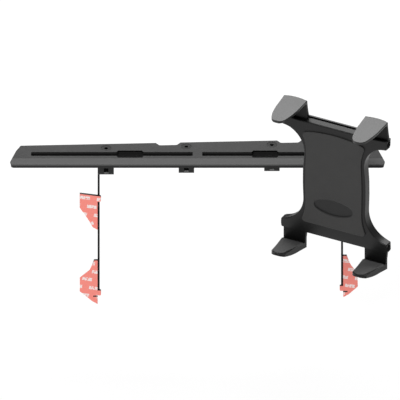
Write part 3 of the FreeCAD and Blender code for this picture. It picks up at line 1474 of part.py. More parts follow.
def build():
    """Build every sub-part."""
    dash_plate()
    plate_screws()
    side_bracket("left_side_bracket", LUG_SCREWS[0], -1)
    lug_bracket("left_lug_bracket", LUG_SCREWS[1])
    lug_bracket("right_lug_bracket", LUG_SCREWS[2])
    side_bracket("right_side_bracket", LUG_SCREWS[3], 1)
    tapes_and_liners()
    slot_nut()
    base_washer()
    base_ball()
    arm_half("arm_half_left", -1)
    arm_half("arm_half_right", 1)
    arm_bolt()
    arm_washer()
    arm_spring()
    arm_knob()
    knob_insert()
    front_shell()
    back_shell()
    front_pad()
    grips()
    carriage_plate()
    springs()
    ball_plate()
    holder_ball()
    holder_screws("finger_screws", "Dim.grip_screw_radius", "Dim.grip_screw_head_radius",
                  "Dim.finger_screw_length", CARRIAGE_REAR, finger_screw_spots())
    holder_screws("leg_screws", "Dim.grip_screw_radius", "Dim.grip_screw_head_radius",
                  "Dim.leg_screw_length", LEG_REAR, leg_screw_spots())
    holder_screws("shell_screws", "Dim.shell_screw_radius", "Dim.shell_screw_head_radius",
                  "Dim.shell_screw_length", BACK, BOSSES)
    holder_screws("ball_plate_screws", "Dim.ball_plate_screw_radius", "Dim.ball_plate_head_radius",
                  "Dim.ball_plate_screw_length", f"({BACK} + Dim.ball_plate_thickness)",
                  plate_holes())
    doc.recompute()


def export():
    """Check every object, then write each sub-part to its own file."""
    os.makedirs("parts", exist_ok=True)
    failed = [item.Label for item in doc.Objects if {"Invalid", "Error"} & set(item.State)]
    if failed:
        raise SystemExit(f"failed to build: {failed}")
    for item in doc.Objects:
        if item.TypeId not in ("PartDesign::Body", "Part::Feature") or item.Label.endswith("_form"):
            continue
        if item.getParentGeoFeatureGroup():
            continue
        if item.Shape.isNull() or not item.Shape.isValid():
            raise SystemExit(f"{item.Label} has no valid shape")
        item.Shape.exportStep(f"parts/{item.Label}.step")


build()
export()
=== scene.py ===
"""Dash tablet mount: looks, stage and camera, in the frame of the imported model.

Blender's own lengths are metres. Sizes and places of the mount are written in millimetres
and become metres by MM. Sizes of the stage are in metres.
"""

import json
import math

import bmesh
import bpy
from mathutils import Matrix, Vector


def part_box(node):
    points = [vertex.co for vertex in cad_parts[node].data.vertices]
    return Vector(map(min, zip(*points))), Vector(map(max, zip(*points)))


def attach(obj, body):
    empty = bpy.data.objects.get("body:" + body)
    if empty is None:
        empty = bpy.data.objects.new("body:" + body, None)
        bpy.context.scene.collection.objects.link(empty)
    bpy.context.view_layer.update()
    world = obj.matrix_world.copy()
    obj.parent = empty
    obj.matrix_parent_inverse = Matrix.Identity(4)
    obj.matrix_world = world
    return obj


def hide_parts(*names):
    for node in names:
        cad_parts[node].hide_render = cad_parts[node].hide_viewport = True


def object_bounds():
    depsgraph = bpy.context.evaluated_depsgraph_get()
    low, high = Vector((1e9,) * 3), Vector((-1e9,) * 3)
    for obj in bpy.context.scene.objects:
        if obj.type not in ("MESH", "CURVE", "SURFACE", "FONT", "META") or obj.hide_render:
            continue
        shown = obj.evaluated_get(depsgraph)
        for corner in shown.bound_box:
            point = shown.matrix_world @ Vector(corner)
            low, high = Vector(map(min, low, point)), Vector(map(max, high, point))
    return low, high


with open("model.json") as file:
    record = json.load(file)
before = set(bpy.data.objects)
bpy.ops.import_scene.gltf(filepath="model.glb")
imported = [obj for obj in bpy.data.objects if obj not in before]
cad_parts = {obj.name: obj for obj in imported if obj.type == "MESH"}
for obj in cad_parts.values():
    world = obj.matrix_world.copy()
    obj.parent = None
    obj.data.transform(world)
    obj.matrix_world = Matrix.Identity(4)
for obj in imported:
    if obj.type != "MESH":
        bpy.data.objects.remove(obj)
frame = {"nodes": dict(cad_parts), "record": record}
cad_box = [list(corner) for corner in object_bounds()]
record = frame["record"]
nodes = frame["nodes"]
bodies = record["behaviour"]["bodies"]

MM = 0.001
UP = Vector((0, 0, 1))

# The holder's own frame: u to its right, r to its rear and w up

HOLDER_CENTRE = Vector((153.30, -90.00, 22.00))
HOLDER_YAW = math.radians(27.3)
HOLDER_RIGHT = Vector((math.cos(HOLDER_YAW), -math.sin(HOLDER_YAW), 0))
HOLDER_REAR = Vector((math.sin(HOLDER_YAW), math.cos(HOLDER_YAW), 0))

# The oval in the holder's pad: half sizes, the height of its middle in the CAD and how far it
# drops here, and its middle as the pad's finish sees it

OVAL_SIZE = (24.5, 10.0)
OVAL_HEIGHT = -30.0
OVAL_DROP = 1.6
OVAL_PLACE = (HOLDER_CENTRE.dot(HOLDER_RIGHT), HOLDER_CENTRE.z + OVAL_HEIGHT - OVAL_DROP)


# Shader values

class Value:
    """A shader socket that can be used in Python sums."""

    def __init__(self, finish, socket):
        self.finish = finish
        self.socket = socket

    def work(self, operation, *values):
        """A Math node with this operation on these values."""
        inputs = dict(enumerate(values))
        return self.finish.node("ShaderNodeMath", {"operation": operation}, inputs)

    def __add__(self, other):
        return self.work("ADD", self, other)

    def __mul__(self, other):
        return self.work("MULTIPLY", self, other)

    def __sub__(self, other):
        return self.work("SUBTRACT", self, other)

    def __rsub__(self, other):
        return self.work("SUBTRACT", other, self)

    def below(self, limit):
        """1 where the value is under the limit, else 0."""
        return self.work("LESS_THAN", self, limit)

    def above(self, limit):
        """1 where the value is over the limit, else 0."""
        return self.work("GREATER_THAN", self, limit)

    def fraction(self):
        """What the value has behind its decimal point."""
        return self.work("FRACT", self)

    def unsigned(self):
        """The value without its sign."""
        return self.work("ABSOLUTE", self)

    __radd__ = __add__
    __rmul__ = __mul__


# The colour sockets of a Mix node, by number

MIX_FACTOR = 0
MIX_FIRST = 6
MIX_SECOND = 7
MIX_RESULT = 2


class Finish:
    """One material: its nodes are added by type, and its main shader's sockets are fed by name."""

    def __init__(self, name, **constants):
        self.material = bpy.data.materials.new(name)
        self.material.use_nodes = True
        self.tree = self.material.node_tree
        self.shader = self.tree.nodes["Principled BSDF"]
        for socket, number in constants.items():
            self.shader.inputs[socket.replace("_", " ").title()].default_value = number

    def node(self, kind, settings=None, inputs=None, output=0):
        """Add a node of a kind, with its settings and what its sockets hold."""
        node = self.tree.nodes.new(kind)
        for key, setting in (settings or {}).items():
            if key == "stops":
                self.set_stops(node.color_ramp, setting)
            else:
                setattr(node, key, setting)
        for key, content in (inputs or {}).items():
            self.feed(node.inputs[key], content)
        return Value(self, node.outputs[output])

    def set_stops(self, ramp, stops):
        """Give a ramp grey stops, each a place and a shade."""
        while len(ramp.elements) < len(stops):
            ramp.elements.new(0.5)
        for element, (place, shade) in zip(ramp.elements, stops):
            element.position = place
            element.color = (shade, shade, shade, 1)

    def feed(self, socket, content):
        """Link a value to a socket, or set a plain number or colour in it."""
        if isinstance(content, Value):
            self.tree.links.new(content.socket, socket)
        else:
            socket.default_value = content

    def place(self, stretch=(1, 1, 1), turn=(0, 0, 0)):
        """Object coordinates in millimetres, stretched and turned as asked."""
        spot = self.node("ShaderNodeTexCoord", output="Object")
        scale = [axis / MM for axis in stretch]
        return self.node("ShaderNodeMapping", None,
                         {"Vector": spot, "Scale": scale, "Rotation": turn})

    def axis(self, number, turn=(0, 0, 0)):
        """One of the object coordinates in millimetres, turned as asked."""
        return self.node("ShaderNodeSeparateXYZ", None, {0: self.place(turn=turn)}, number)

    def noise(self, size, detail=2.0, rough=0.5, stretch=(1, 1, 1)):
        """Soft noise whose spots are about size millimetres across."""
        inputs = {"Vector": self.place(stretch), "Scale": 1 / size, "Detail": detail,
                  "Roughness": rough}
        return self.node("ShaderNodeTexNoise", {"noise_dimensions": "3D"}, inputs)

    def cells(self, feature, size):
        """The distance to the middle of the nearest of many cells of this size."""
        inputs = {"Vector": self.place(), "Scale": 1 / size}
        return self.node("ShaderNodeTexVoronoi", {"feature": feature}, inputs, "Distance")

    def ramp(self, value, stops):
        """A value led through grey stops."""
        return self.node("ShaderNodeValToRGB", {"stops": stops}, {"Fac": value})

    def mix(self, factor, first, second):
        """The first colour where the factor is 0, and the second where it is 1."""
        inputs = {MIX_FACTOR: factor, MIX_FIRST: first, MIX_SECOND: second}
        return self.node("ShaderNodeMix", {"data_type": "RGBA"}, inputs, MIX_RESULT)

    def mottled(self, spots, shade, dark, pale, warmth=0.0):
        """A grey between a dark and a pale share of its shade, whose pale spots may be warm."""
        return self.mix(spots, grey(shade * dark), grey(shade * pale, warmth))

    def bump(self, relief, depth, strength):
        """Fine relief of a depth in millimetres."""
        inputs = {"Height": relief, "Distance": depth * MM, "Strength": strength}
        self.feed(self.shader.inputs["Normal"], self.node("ShaderNodeBump", None, inputs))

    def colour(self, value):
        """What the main shader shows as its colour."""
        self.feed(self.shader.inputs["Base Color"], value)

    def roughness(self, value):
        """How far the surface scatters what it mirrors."""
        self.feed(self.shader.inputs["Roughness"], value)

    def shine(self, level):
        """How strongly the surface mirrors, where 0.5 is common plastic."""
        self.shader.inputs["Specular IOR Level"].default_value = level


def grey(shade, warmth=0.0):
    """A grey, a little warm or cold."""
    return (shade * (1 + warmth), shade, shade * (1 - warmth), 1)


# Finishes

# Sizes of their marks in millimetres, and the stops of their ramps, each a place and a shade

CLOUD_SIZE = 9.0
RUB_SIZE = 14.0
RUB_STOPS = [(0.52, 0), (0.75, 1)]
FLOW_SIZE = 22.0
FLOW_STRETCH = (1, 1, 0.35)
DUST_SIZE = 16.0

# The plate's front slope, painted paler as painted light: how far ahead of the plate's middle line
# it starts to be paler, the depth that the stops are spread over, and the height that it lies
# above

SLOPE_START = 9.0
SLOPE_DEPTH = 10.0
SLOPE_STOPS = [(0.0, 0), (0.12, 0.72), (1.0, 1)]
SLOPE_FOOT = 4.6

# The blades of the side brackets start below the lugs

BLADE_TOP = -24.5


def coated(name, shade, rough, grain, shine, painted_slope_light=None, painted_low_tone=None):
    """Powder coat: faint clouds, a fine orange peel and rubbed spots that shine a little.

    The plate's front slope may be painted paler, painted light for the light that the slope
    catches. What hangs below the lugs may be painted darker, painted shade under the plate.
    """
    finish = Finish(name)
    finish.shine(shine)
    clouds = finish.noise(CLOUD_SIZE, detail=3.0)
    peel = finish.noise(grain)
    rubs = finish.ramp(finish.noise(RUB_SIZE, detail=5.0, rough=0.7), RUB_STOPS)
    coat = finish.mottled(clouds, shade, dark=0.85, pale=1.18)
    # Painted light: the plate's front slope is made paler than the rest of the coat
    if painted_slope_light:
        depth = finish.axis(1) * (-1 / SLOPE_DEPTH) - SLOPE_START / SLOPE_DEPTH
        on_top = finish.axis(2).above(SLOPE_FOOT)
        coat = finish.mix(finish.ramp(depth, SLOPE_STOPS) * on_top, coat, grey(painted_slope_light))
    # Painted shade: below the lugs the blades, which hang under the plate, are made darker
    if painted_low_tone:
        coat = finish.mix(finish.axis(2).below(BLADE_TOP), coat, grey(painted_low_tone))
    finish.colour(coat)
    finish.roughness(rough + 0.10 * clouds - 0.06 * rubs)
    finish.bump(peel, depth=0.03, strength=0.4)
    return finish


def moulded(name, shade, rough, grain, depth, shine=0.5):
    """Moulded plastic: spark-eroded grain, flow marks and slightly shiny handled spots."""
    finish = Finish(name)
    finish.shine(shine)
    sand = finish.noise(grain, rough=0.6)
    flow = finish.noise(FLOW_SIZE, detail=4.0, stretch=FLOW_STRETCH)
    finish.colour(finish.mottled(flow, shade, dark=0.88, pale=1.14))
    finish.roughness(rough + 0.12 * sand - 0.10 * flow)
    finish.bump(sand, depth, strength=0.5)
    return finish


# Where the tongues' upper faces lie, in the holder's frame. A leg's face rises towards its tip,
# and the polish starts a little below it and a little ahead of the upright webs

LEG_SLOPE = 0.14
LEG_FACE = -87.9
BELOW_FACE = -0.4
WEB_FRONT = -1.5
TONGUE_FOOT = 91.5


def gripped(name, shade, rough, grain, depth, shine, polish):
    """Moulded plastic that hands have polished on the upper faces of the tongues."""
    finish = moulded(name, shade, rough, grain, depth, shine)
    behind = finish.axis(1, (0, 0, HOLDER_YAW)) - HOLDER_CENTRE.dot(HOLDER_REAR)
    height = finish.axis(2) - HOLDER_CENTRE.z
    above_leg = (height + behind * LEG_SLOPE - LEG_FACE).above(BELOW_FACE)
    plain = (1 - above_leg * behind.below(WEB_FRONT)) * height.below(TONGUE_FOOT)
    finish.shader.inputs["Coat Roughness"].default_value = rough
    finish.feed(finish.shader.inputs["Coat Weight"], (1 - plain) * polish)
    return finish


# The legs' pads lie below a height, to the left and the right of a split, and each has its share
# of their grey: they are painted paler as painted light from above, the left one less and the
# right one more, to even out how the lamps fall on them. The oval is painted darker by a share of
# the front pad's grey, painted shade in its recess

LOW_PADS = -50.0
PAD_SPLIT = 150.0
LEFT_PAD_PAINTED = 0.78
RIGHT_PAD_PAINTED = 1.12
OVAL_PAINTED_SHADE = 0.55


def in_oval(finish):
    """1 inside the oval of the holder's pad, else 0."""
    half_width, half_height = OVAL_SIZE
    middle, height = OVAL_PLACE
    across = finish.axis(0, (0, 0, HOLDER_YAW)) * (1 / half_width) - middle / half_width
    rise = finish.axis(2) * (1 / half_height) - height / half_height
    return (across * across + rise * rise).below(1.0)


def rubbery(name, shade, rough, grain, depth, shine=0.5, painted_low_tone=None):
    """Rubber: dull and finely pebbled, with a breath of dust.

    With a painted tone for the lowest pads, painted light that makes them paler, it is the
    holder's own rubber, which has the oval's painted shade too.
    """
    finish = Finish(name)
    finish.shine(shine)
    dust = finish.noise(DUST_SIZE, detail=5.0, rough=0.65)
    rubber = finish.mottled(dust, shade, dark=0.9, pale=1.25, warmth=0.02)
    if painted_low_tone:
        # Painted shade: inside the sunk oval the rubber is made darker
        rubber = finish.mix(in_oval(finish), rubber, grey(shade * OVAL_PAINTED_SHADE))
        # Painted light: the legs' pads are made paler, the left one less than the right one
        on_right = finish.axis(0).above(PAD_SPLIT)
        painted_low_pads = finish.mottled(on_right, painted_low_tone, dark=LEFT_PAD_PAINTED, pale=RIGHT_PAD_PAINTED)
        rubber = finish.mix(finish.axis(2).below(LOW_PADS), rubber, painted_low_pads)
    finish.colour(rubber)
    finish.roughness(rough + 0.1 * dust)
    finish.bump(finish.cells("SMOOTH_F1", grain), depth, strength=0.5)
    return finish


# Marks of the metals and the foam

STEEL_STREAK = 0.5
STEEL_PATCH = 6.0
BRASS_STREAK = 0.3
BRASS_PATCH = 3.0
BRASS_DARK = (0.45, 0.30, 0.11, 1)
BRASS_BRIGHT = (0.72, 0.53, 0.22, 1)
FOAM_CELLS_PER_MM = 2.2


def steel(name, shade, rough, stretch=(1, 1, 1)):
    """Drawn or turned steel: fine streaks and a few dull patches."""
    finish = Finish(name, metallic=1.0)
    streaks = finish.noise(STEEL_STREAK, detail=3.0, stretch=stretch)
    patches = finish.noise(STEEL_PATCH, detail=4.0)
    finish.colour(finish.mottled(patches, shade, dark=0.8, pale=1.1))
    finish.roughness(rough + 0.15 * patches + 0.08 * streaks)
    finish.bump(streaks, depth=0.02, strength=0.4)
    return finish


def brass(name):
    """Turned brass with a faint tarnish."""
    finish = Finish(name, metallic=1.0)
    patches = finish.noise(BRASS_PATCH, detail=4.0)
    finish.colour(finish.mix(patches, BRASS_DARK, BRASS_BRIGHT))
    finish.roughness(0.28 + 0.2 * patches)
    finish.bump(finish.noise(BRASS_STREAK, stretch=(0.2, 1, 1)), depth=0.02, strength=0.3)
    return finish


def foam(name):
    """Acrylic foam: open cells and a matt skin."""
    finish = Finish(name)
    cells = finish.cells("F1", 1 / FOAM_CELLS_PER_MM)
    finish.colour(finish.mix(cells, grey(0.02), grey(0.05)))
    finish.roughness(0.85 + 0.1 * cells)
    finish.bump(cells, depth=0.1, strength=0.5)
    return finish


# The liners' film and the dashes on it. A dash's place and size are shares of the pitch along
# its row and of the height of the row, and worn spots open where the noise is low

RED_PALE = (0.97, 0.25, 0.205, 1)
RED_DEEP = (1.0, 0.31, 0.26, 1)
DASH_WHITE = (0.95, 0.90, 0.88, 1)
DASH_COVER = 0.85
LINER_TILT = math.radians(-9)
LINER_ROW = 10.5
LINER_PITCH = 19.0
ROW_START = 0.30
ROW_SHIFT = 0.5
DASH_START = 0.15
DASH_HALF_LENGTH = 0.29
DASH_HALF_HEIGHT = 0.20
WORN_SIZE = 1.6
WORN_LEVEL = 0.42
FOAM_MARK = 2.2
FOLD_SIZE = 18.0


def liner(name):
    """Thin release film with staggered rows of plain white dashes, over uneven foam."""
    finish = Finish(name)
    finish.shine(0.3)
    foam_marks = finish.noise(FOAM_MARK, detail=4.0)
    folds = finish.noise(FOLD_SIZE)
    tilt = (0, LINER_TILT, 0)
    row = finish.axis(2, tilt) * (1 / LINER_ROW) + ROW_START
    shift = (row * 0.5).fraction().above(0.5) * ROW_SHIFT
    along = (finish.axis(0, tilt) * (1 / LINER_PITCH) + shift + DASH_START).fraction()
    in_length = (along - 0.5).unsigned().below(DASH_HALF_LENGTH)
    in_height = (row.fraction() - 0.5).unsigned().below(DASH_HALF_HEIGHT)
    whole = finish.noise(WORN_SIZE).above(WORN_LEVEL)
    film = finish.mix(foam_marks, RED_PALE, RED_DEEP)
    finish.colour(finish.mix(in_length * in_height * whole * DASH_COVER, film, DASH_WHITE))
    finish.roughness(0.38 + 0.15 * folds)
    finish.bump(folds, depth=0.4, strength=0.5)
    return finish


# One finish for each material slot of the record

FINISHES = {
    "black_coat": coated("dash_coat", shade=0.027, rough=0.45, grain=0.9, shine=0.10,
                         painted_slope_light=0.087),
    "bracket_coat": coated("bracket_coat", shade=0.034, rough=0.42, grain=0.7, shine=0.16,
                           painted_low_tone=0.002),
    "arm_coat": coated("arm_coat", shade=0.020, rough=0.38, grain=0.7, shine=0.40),
    "black_steel": steel("black_steel", shade=0.012, rough=0.40),
    "zinc_steel": steel("zinc_steel", shade=0.55, rough=0.28, stretch=(0.2, 1, 1)),
    "spring_steel": steel("spring_steel", shade=0.50, rough=0.25, stretch=(1, 1, 0.3)),
    "foam_tape": foam("foam_tape"),
    "red_liner": liner("red_liner"),
    # The nylon is near black and dull; the blocks of painted shade in the lug holes, the rail ends
    # and the slot openings take it too
    "nylon": moulded("nylon", shade=0.002, rough=0.6, grain=0.4, depth=0.03, shine=0.02),
    "ball_rubber": rubbery("ball_rubber", shade=0.018, rough=0.5, grain=0.6, depth=0.05),
    "knob_plastic": moulded("knob_plastic", shade=0.018, rough=0.42, grain=0.5, depth=0.05),
    "brass": brass("brass"),
    "shell_plastic": moulded("shell_plastic", shade=0.004, rough=0.40, grain=0.45, depth=0.03,
                             shine=0.33),
    "grip_plastic": gripped("grip_plastic", shade=0.005, rough=0.40, grain=0.45, depth=0.03,
                            shine=0.19, polish=0.62),
    "pad_rubber": rubbery("pad_rubber", shade=0.036, rough=0.62, grain=0.7, depth=0.04, shine=0.3,
                          painted_low_tone=0.095),
}


# Pieces

# Corners of a CAD mesh that lie this close are made one, faces that turn by less than so many
# degrees are made one flat face, and a corner this near a cut lies on it

WELD = 0.002
FLAT_TURN = 0.6
CUT_NEAR = 0.01


def body_with(name):
    """The body that a node belongs to."""
    return next(body for body, members in bodies.items() if name in members)


def slot_of(name):
    """The material slot that the record gives a node."""
    return next(row["material_slot"] for row in record["subparts"] if row["node"] == name)


def make_piece(bm, name, node_names, body, slot_name):
    """Make a mesh object of a bmesh, which rides on a body and stands for nodes."""
    mesh = bpy.data.meshes.new(name)
    bm.to_mesh(mesh)
    bm.free()
    piece = bpy.data.objects.new(name, mesh)
    bpy.context.collection.objects.link(piece)
    mesh.materials.append(FINISHES[slot_name].material)
    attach(piece, body)
    if node_names:
        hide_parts(*node_names)
    return piece


def merged(name):
    """A bmesh of a node's mesh with its loose triangles joined and its flat faces made whole."""
    bm = bmesh.new()
    bm.from_mesh(nodes[name].data)
    bmesh.ops.remove_doubles(bm, verts=bm.verts, dist=WELD * MM)
    bmesh.ops.dissolve_limit(bm, angle_limit=math.radians(FLAT_TURN), verts=bm.verts,
                             edges=bm.edges)
    return bm


def soften(bm, width, segments=2, least=28.0):
    """Round the edges that turn by more than least degrees."""
    limit = math.radians(least)
    sharp = [edge for edge in bm.edges
             if len(edge.link_faces) == 2 and edge.calc_face_angle(0) > limit]
    bmesh.ops.bevel(bm, geom=sharp, offset=width * MM, offset_type="OFFSET", segments=segments,
                    profile=0.5, affect="EDGES", clamp_overlap=True, material=-1)


def shade_by_angle(bm, least=33.0):
    """Smooth faces, with the edges that turn by more than least degrees kept sharp."""
    limit = math.radians(least)
    for face in bm.faces:
        face.smooth = True
    for edge in bm.edges:
        edge.smooth = len(edge.link_faces) == 2 and edge.calc_face_angle(0) < limit


def add_skin(bm, name, width, segments=2):
    """Soften a shaped copy of a node's mesh and let it stand for the node."""
    if width:
        soften(bm, width, segments)
    shade_by_angle(bm)
    piece = make_piece(bm, f"{name}_skin", [name], body_with(name), slot_of(name))
    normals = piece.modifiers.new("flat_faces", "WEIGHTED_NORMAL")
    normals.keep_sharp = True


def ease(value, start, end):
    """0 up to start, 1 from end on, and a smooth step between them."""
    share = min(max((value - start) / (end - start), 0), 1)
    return share * share * (3 - 2 * share)


# Shapes of the holder, in its own frame

def to_holder(point):
    """A point of the model in the holder's frame, in millimetres."""
    away = point / MM - HOLDER_CENTRE
    return away.dot(HOLDER_RIGHT), away.dot(HOLDER_REAR), away.z


def from_holder(u, r, w):
    """A place in the holder's frame as a point of the model, in metres."""
    up = Vector((0, 0, w))
    return (HOLDER_CENTRE + HOLDER_RIGHT * u + HOLDER_REAR * r + up) * MM


def reshape(bm, move):
    """Move each corner of a mesh by a rule written in the holder's frame."""
    for vert in bm.verts:
        vert.co = from_holder(*move(*to_holder(vert.co)))


def divide(bm, places, way):
    """Give long faces corners at these distances from the holder's middle, both ways."""
    for place in places:
        for side in (-place, place):
            geom = bm.verts[:] + bm.edges[:] + bm.faces[:]
            spot = HOLDER_CENTRE * MM + way * side * MM
            bmesh.ops.bisect_plane(bm, geom=geom, plane_co=spot, plane_no=way, dist=CUT_NEAR * MM)


# The flanks: where across the holder they get shallower, and by what share

FLANK_ACROSS = (33, 39)
FLANK_TAPER = 0.19
END_ACROSS = (60, 66)
END_TAPER = 0.08


def shallow_sides(u, r, w, shift=0):
    """The holder is shallower at its sides than in its middle."""
    if r > 0:
        start, end = FLANK_ACROSS
        r *= 1 - FLANK_TAPER * ease(abs(u), start + shift, end + shift)
        r *= 1 - END_TAPER * ease(abs(u), *END_ACROSS)
    return u, r, w


# The waist: how far its curves bend in, what share of that the lower ones do, and the heights
# and places between which the bend grows and fades

WAIST_CUT = 4.8
LOWER_SHARE = 0.4
WAIST_GROWS = (0, 66)
WAIST_FADES = (64, 70)
CURVE_GROWS = (30, 37)
CURVE_FADES = (61, 68)


def waisted(u, r, w, share=1.0):
    """The curves between the waist and the corners bend in further."""
    cut = WAIST_CUT * share * ease(abs(w), *WAIST_GROWS) * (1 - ease(abs(w), *WAIST_FADES))
    cut *= ease(abs(u), *CURVE_GROWS) * (1 - ease(abs(u), *CURVE_FADES))
    if w < 0:
        cut *= LOWER_SHARE
    return u - math.copysign(cut, u), r, w


# The slit on top, whose lips move apart, and the front edge of the top, which comes down

SLIT_REACH = 43
SLIT_REAR = 11
SLIT_REAR_FOOT = 60
SLIT_REAR_FADE = (11.6, 12.2)
SLIT_REAR_MOVE = 1.5
SLIT_FRONT = (7.5, 9)
SLIT_FRONT_FOOT = 72
SLIT_FRONT_MOVE = 1.4
TOP_FOOT = 71
TOP_REACH = 60
TOP_FADE = (0.5, 6)
TOP_DROP = 1.1

# At the shoulders the flanks start further out

SHOULDER_HEIGHTS = (52, 62)
SHOULDER_SHIFT = 7


def shell_shape(u, r, w):
    """Half a housing: slimmer, shallower at its sides, and with a wider slit on top."""
    u, r, w = waisted(u, r, w)
    by_slit = abs(u) < SLIT_REACH
    if by_slit and r > SLIT_REAR and w > SLIT_REAR_FOOT:
        r += SLIT_REAR_MOVE * (1 - ease(r, *SLIT_REAR_FADE))
    if by_slit and SLIT_FRONT[0] < r < SLIT_FRONT[1] and w > SLIT_FRONT_FOOT:
        r -= SLIT_FRONT_MOVE
    if w > TOP_FOOT and abs(u) < TOP_REACH:
        w -= TOP_DROP * (1 - ease(r, *TOP_FADE))
    return shallow_sides(u, r, w, shift=SHOULDER_SHIFT * ease(abs(w), *SHOULDER_HEIGHTS))


# The front pad: its thickness next to the CAD's, and the oval's floor, found by its depth

PAD_SHARE = 0.42
PAD_WAIST = 0.5
OVAL_FLOOR = -2.9
OVAL_NEAR = 0.05
OVAL_REACH = 30
OVAL_RISE = 15
OVAL_SHARE = 0.2


def pad_shape(u, r, w):
    """The pad stands less proud, and its oval is sunk in it a little lower."""
    in_reach = abs(u) < OVAL_REACH and abs(w - OVAL_HEIGHT) < OVAL_RISE
    if in_reach and abs(r - OVAL_FLOOR) < OVAL_NEAR:
        return u, r * OVAL_SHARE, w - OVAL_DROP
    u, r, w = waisted(u, r, w, share=PAD_WAIST)
    return u, r * PAD_SHARE, w


# Fingers and legs: the middle of each across the holder, and how far its tongue reaches

GRIP_CENTRE = 51.2
GRIP_REACH = 42.0

# A finger's web leans forward towards its top. Its right edge stands out at the foot and
# draws in above, and the tongue is fullest in the middle of its length

WEB_RISE = (66, 94)
WEB_FOOT = (72, 76)
WEB_DEPTH = 11.45
WEB_LEAN = 0.5
WEB_WIDER = 1.5
WEB_DRAWN_IN = 2.6
TONGUE_LENGTH = 34
TONGUE_FULLNESS = 1.4


def finger_shape(u, r, w):
    """A finger leans in towards its top and its tongue is fuller at mid length."""
    rise = ease(w, *WEB_RISE)
    centre = math.copysign(GRIP_CENTRE, u)
    if r < 0:
        fuller = TONGUE_FULLNESS * math.sin(math.pi * min(1, -r / TONGUE_LENGTH))
        u += math.copysign(fuller, u - centre)
    elif r > 0:
        r -= WEB_LEAN * rise * r / WEB_DEPTH
    if u > centre:
        u += (WEB_WIDER - WEB_DRAWN_IN * rise) * ease(w, *WEB_FOOT)
    return shallow_sides(u, r, w)


# A leg's tongue: the height that parts its underside from its face, how far that rises over
# the tongue's reach, how much fuller the underside is and how far the face sinks

LEG_MIDDLE = -91.0
LEG_RISE = 7.6
LEG_FULLNESS = 2.5
LEG_SINK = 0.9
LEG_SINK_SHARES = (0.2, 0.95)
LEG_FLARE = 1.0
LEG_FLARE_HEIGHTS = (-84, -72)


def leg_shape(u, r, w):
    """The underside of a leg's tongue is fuller at mid length, and its web flares at a side."""
    share = min(max(-r / GRIP_REACH, 0), 1)
    if w < LEG_MIDDLE + LEG_RISE * share:
        w -= LEG_FULLNESS * math.sin(math.pi * share)
    elif r < 0:
        w -= LEG_SINK * ease(share, *LEG_SINK_SHARES)
    if r > 0 and u > math.copysign(GRIP_CENTRE, u):
        u += LEG_FLARE * ease(w, *LEG_FLARE_HEIGHTS)
    return shallow_sides(u, r, w)


# A leg's pad next to the CAD's, and how far its tip sinks

LEG_PAD_WIDER = 1.13
LEG_PAD_LONGER = 1.035
LEG_PAD_SINK = 0.5
LEG_PAD_REACH = 40


def leg_pad_shape(u, r, w):
    """A leg's pad fills nearly all of its tongue."""
    centre = math.copysign(GRIP_CENTRE, u)
    sink = LEG_PAD_SINK * ease(-r, 0, LEG_PAD_REACH)
    return centre + (u - centre) * LEG_PAD_WIDER, r * LEG_PAD_LONGER, w - sink


def cut_off(bm, point, way):
    """Cut off what lies beyond a plane, and close the cut."""
    geom = bm.verts[:] + bm.edges[:] + bm.faces[:]
    cut = bmesh.ops.bisect_plane(bm, geom=geom, plane_co=point, plane_no=way, clear_outer=True)
    rim = [item for item in cut["geom_cut"] if isinstance(item, bmesh.types.BMEdge)]
    if rim:
        for face in bmesh.ops.edgeloop_fill(bm, edges=rim)["faces"]:
            face.normal_update()
            if face.normal.dot(way) < 0:
                face.normal_flip()


# The round end of a tongue, and how far its pad stays inside it. Its cuts are turned to both
# sides of the tip by up to so many degrees, in even steps

TIP_RADIUS = 9.8
TIP_TURN = 75
TIP_STEP = 10
FINGER_PAD_INSET = 2.4
LEG_PAD_INSET = 1.2


def round_tip(bm, centre_u, inset):
    """Round the end of a tongue, or of its pad, by cuts that follow an arc."""
    middle = from_holder(centre_u, TIP_RADIUS - GRIP_REACH, 0)
    for angle in range(-TIP_TURN, TIP_TURN + 1, TIP_STEP):
        turn = math.radians(angle)
        way = HOLDER_RIGHT * math.sin(turn) - HOLDER_REAR * math.cos(turn)
        cut_off(bm, middle + way * (TIP_RADIUS - inset) * MM, way)


# Distances from the holder's middle at which long faces get corners that can move

FLANK_PLACES = (33, 36, 39, 42, 45)
HEIGHT_PLACES = (8, 16, 24)
TONGUE_PLACES = (8, 16, 24, 32)
WEB_PLACES = (72, 76, 82)

# Copies of the holder's nodes: the rule that shapes each, the softness of its edges, and
# whether it follows the waist

HOLDER_COPIES = {
    "front_shell": (shell_shape, 0.6, True),
    "back_shell": (shell_shape, 0.25, True),
    "front_pad": (pad_shape, 0.0, True),
    "carriage_plate": (shallow_sides, 0.25, False),
    "finger_screws": (shallow_sides, 0.0, False),
    "leg_screws": (shallow_sides, 0.0, False),
}

# Fingers and legs: for each kind the pattern of its names, its rule and the softness of its
# edges, and its pad's rule and inset

GRIPS = (
    ("upper_{}_finger", finger_shape, 0.45, None, FINGER_PAD_INSET),
    ("lower_{}_leg", leg_shape, 0.8, leg_pad_shape, LEG_PAD_INSET),
)
GRIP_SEGMENTS = 3
PAD_SOFTNESS = 0.15


def holder_copies():
    """The housing, its pad, the carriage and their screws."""
    for name, (move, width, has_waist) in HOLDER_COPIES.items():
        bm = merged(name)
        divide(bm, FLANK_PLACES, HOLDER_RIGHT)
        if has_waist:
            divide(bm, HEIGHT_PLACES, UP)
        reshape(bm, move)
        add_skin(bm, name, width)


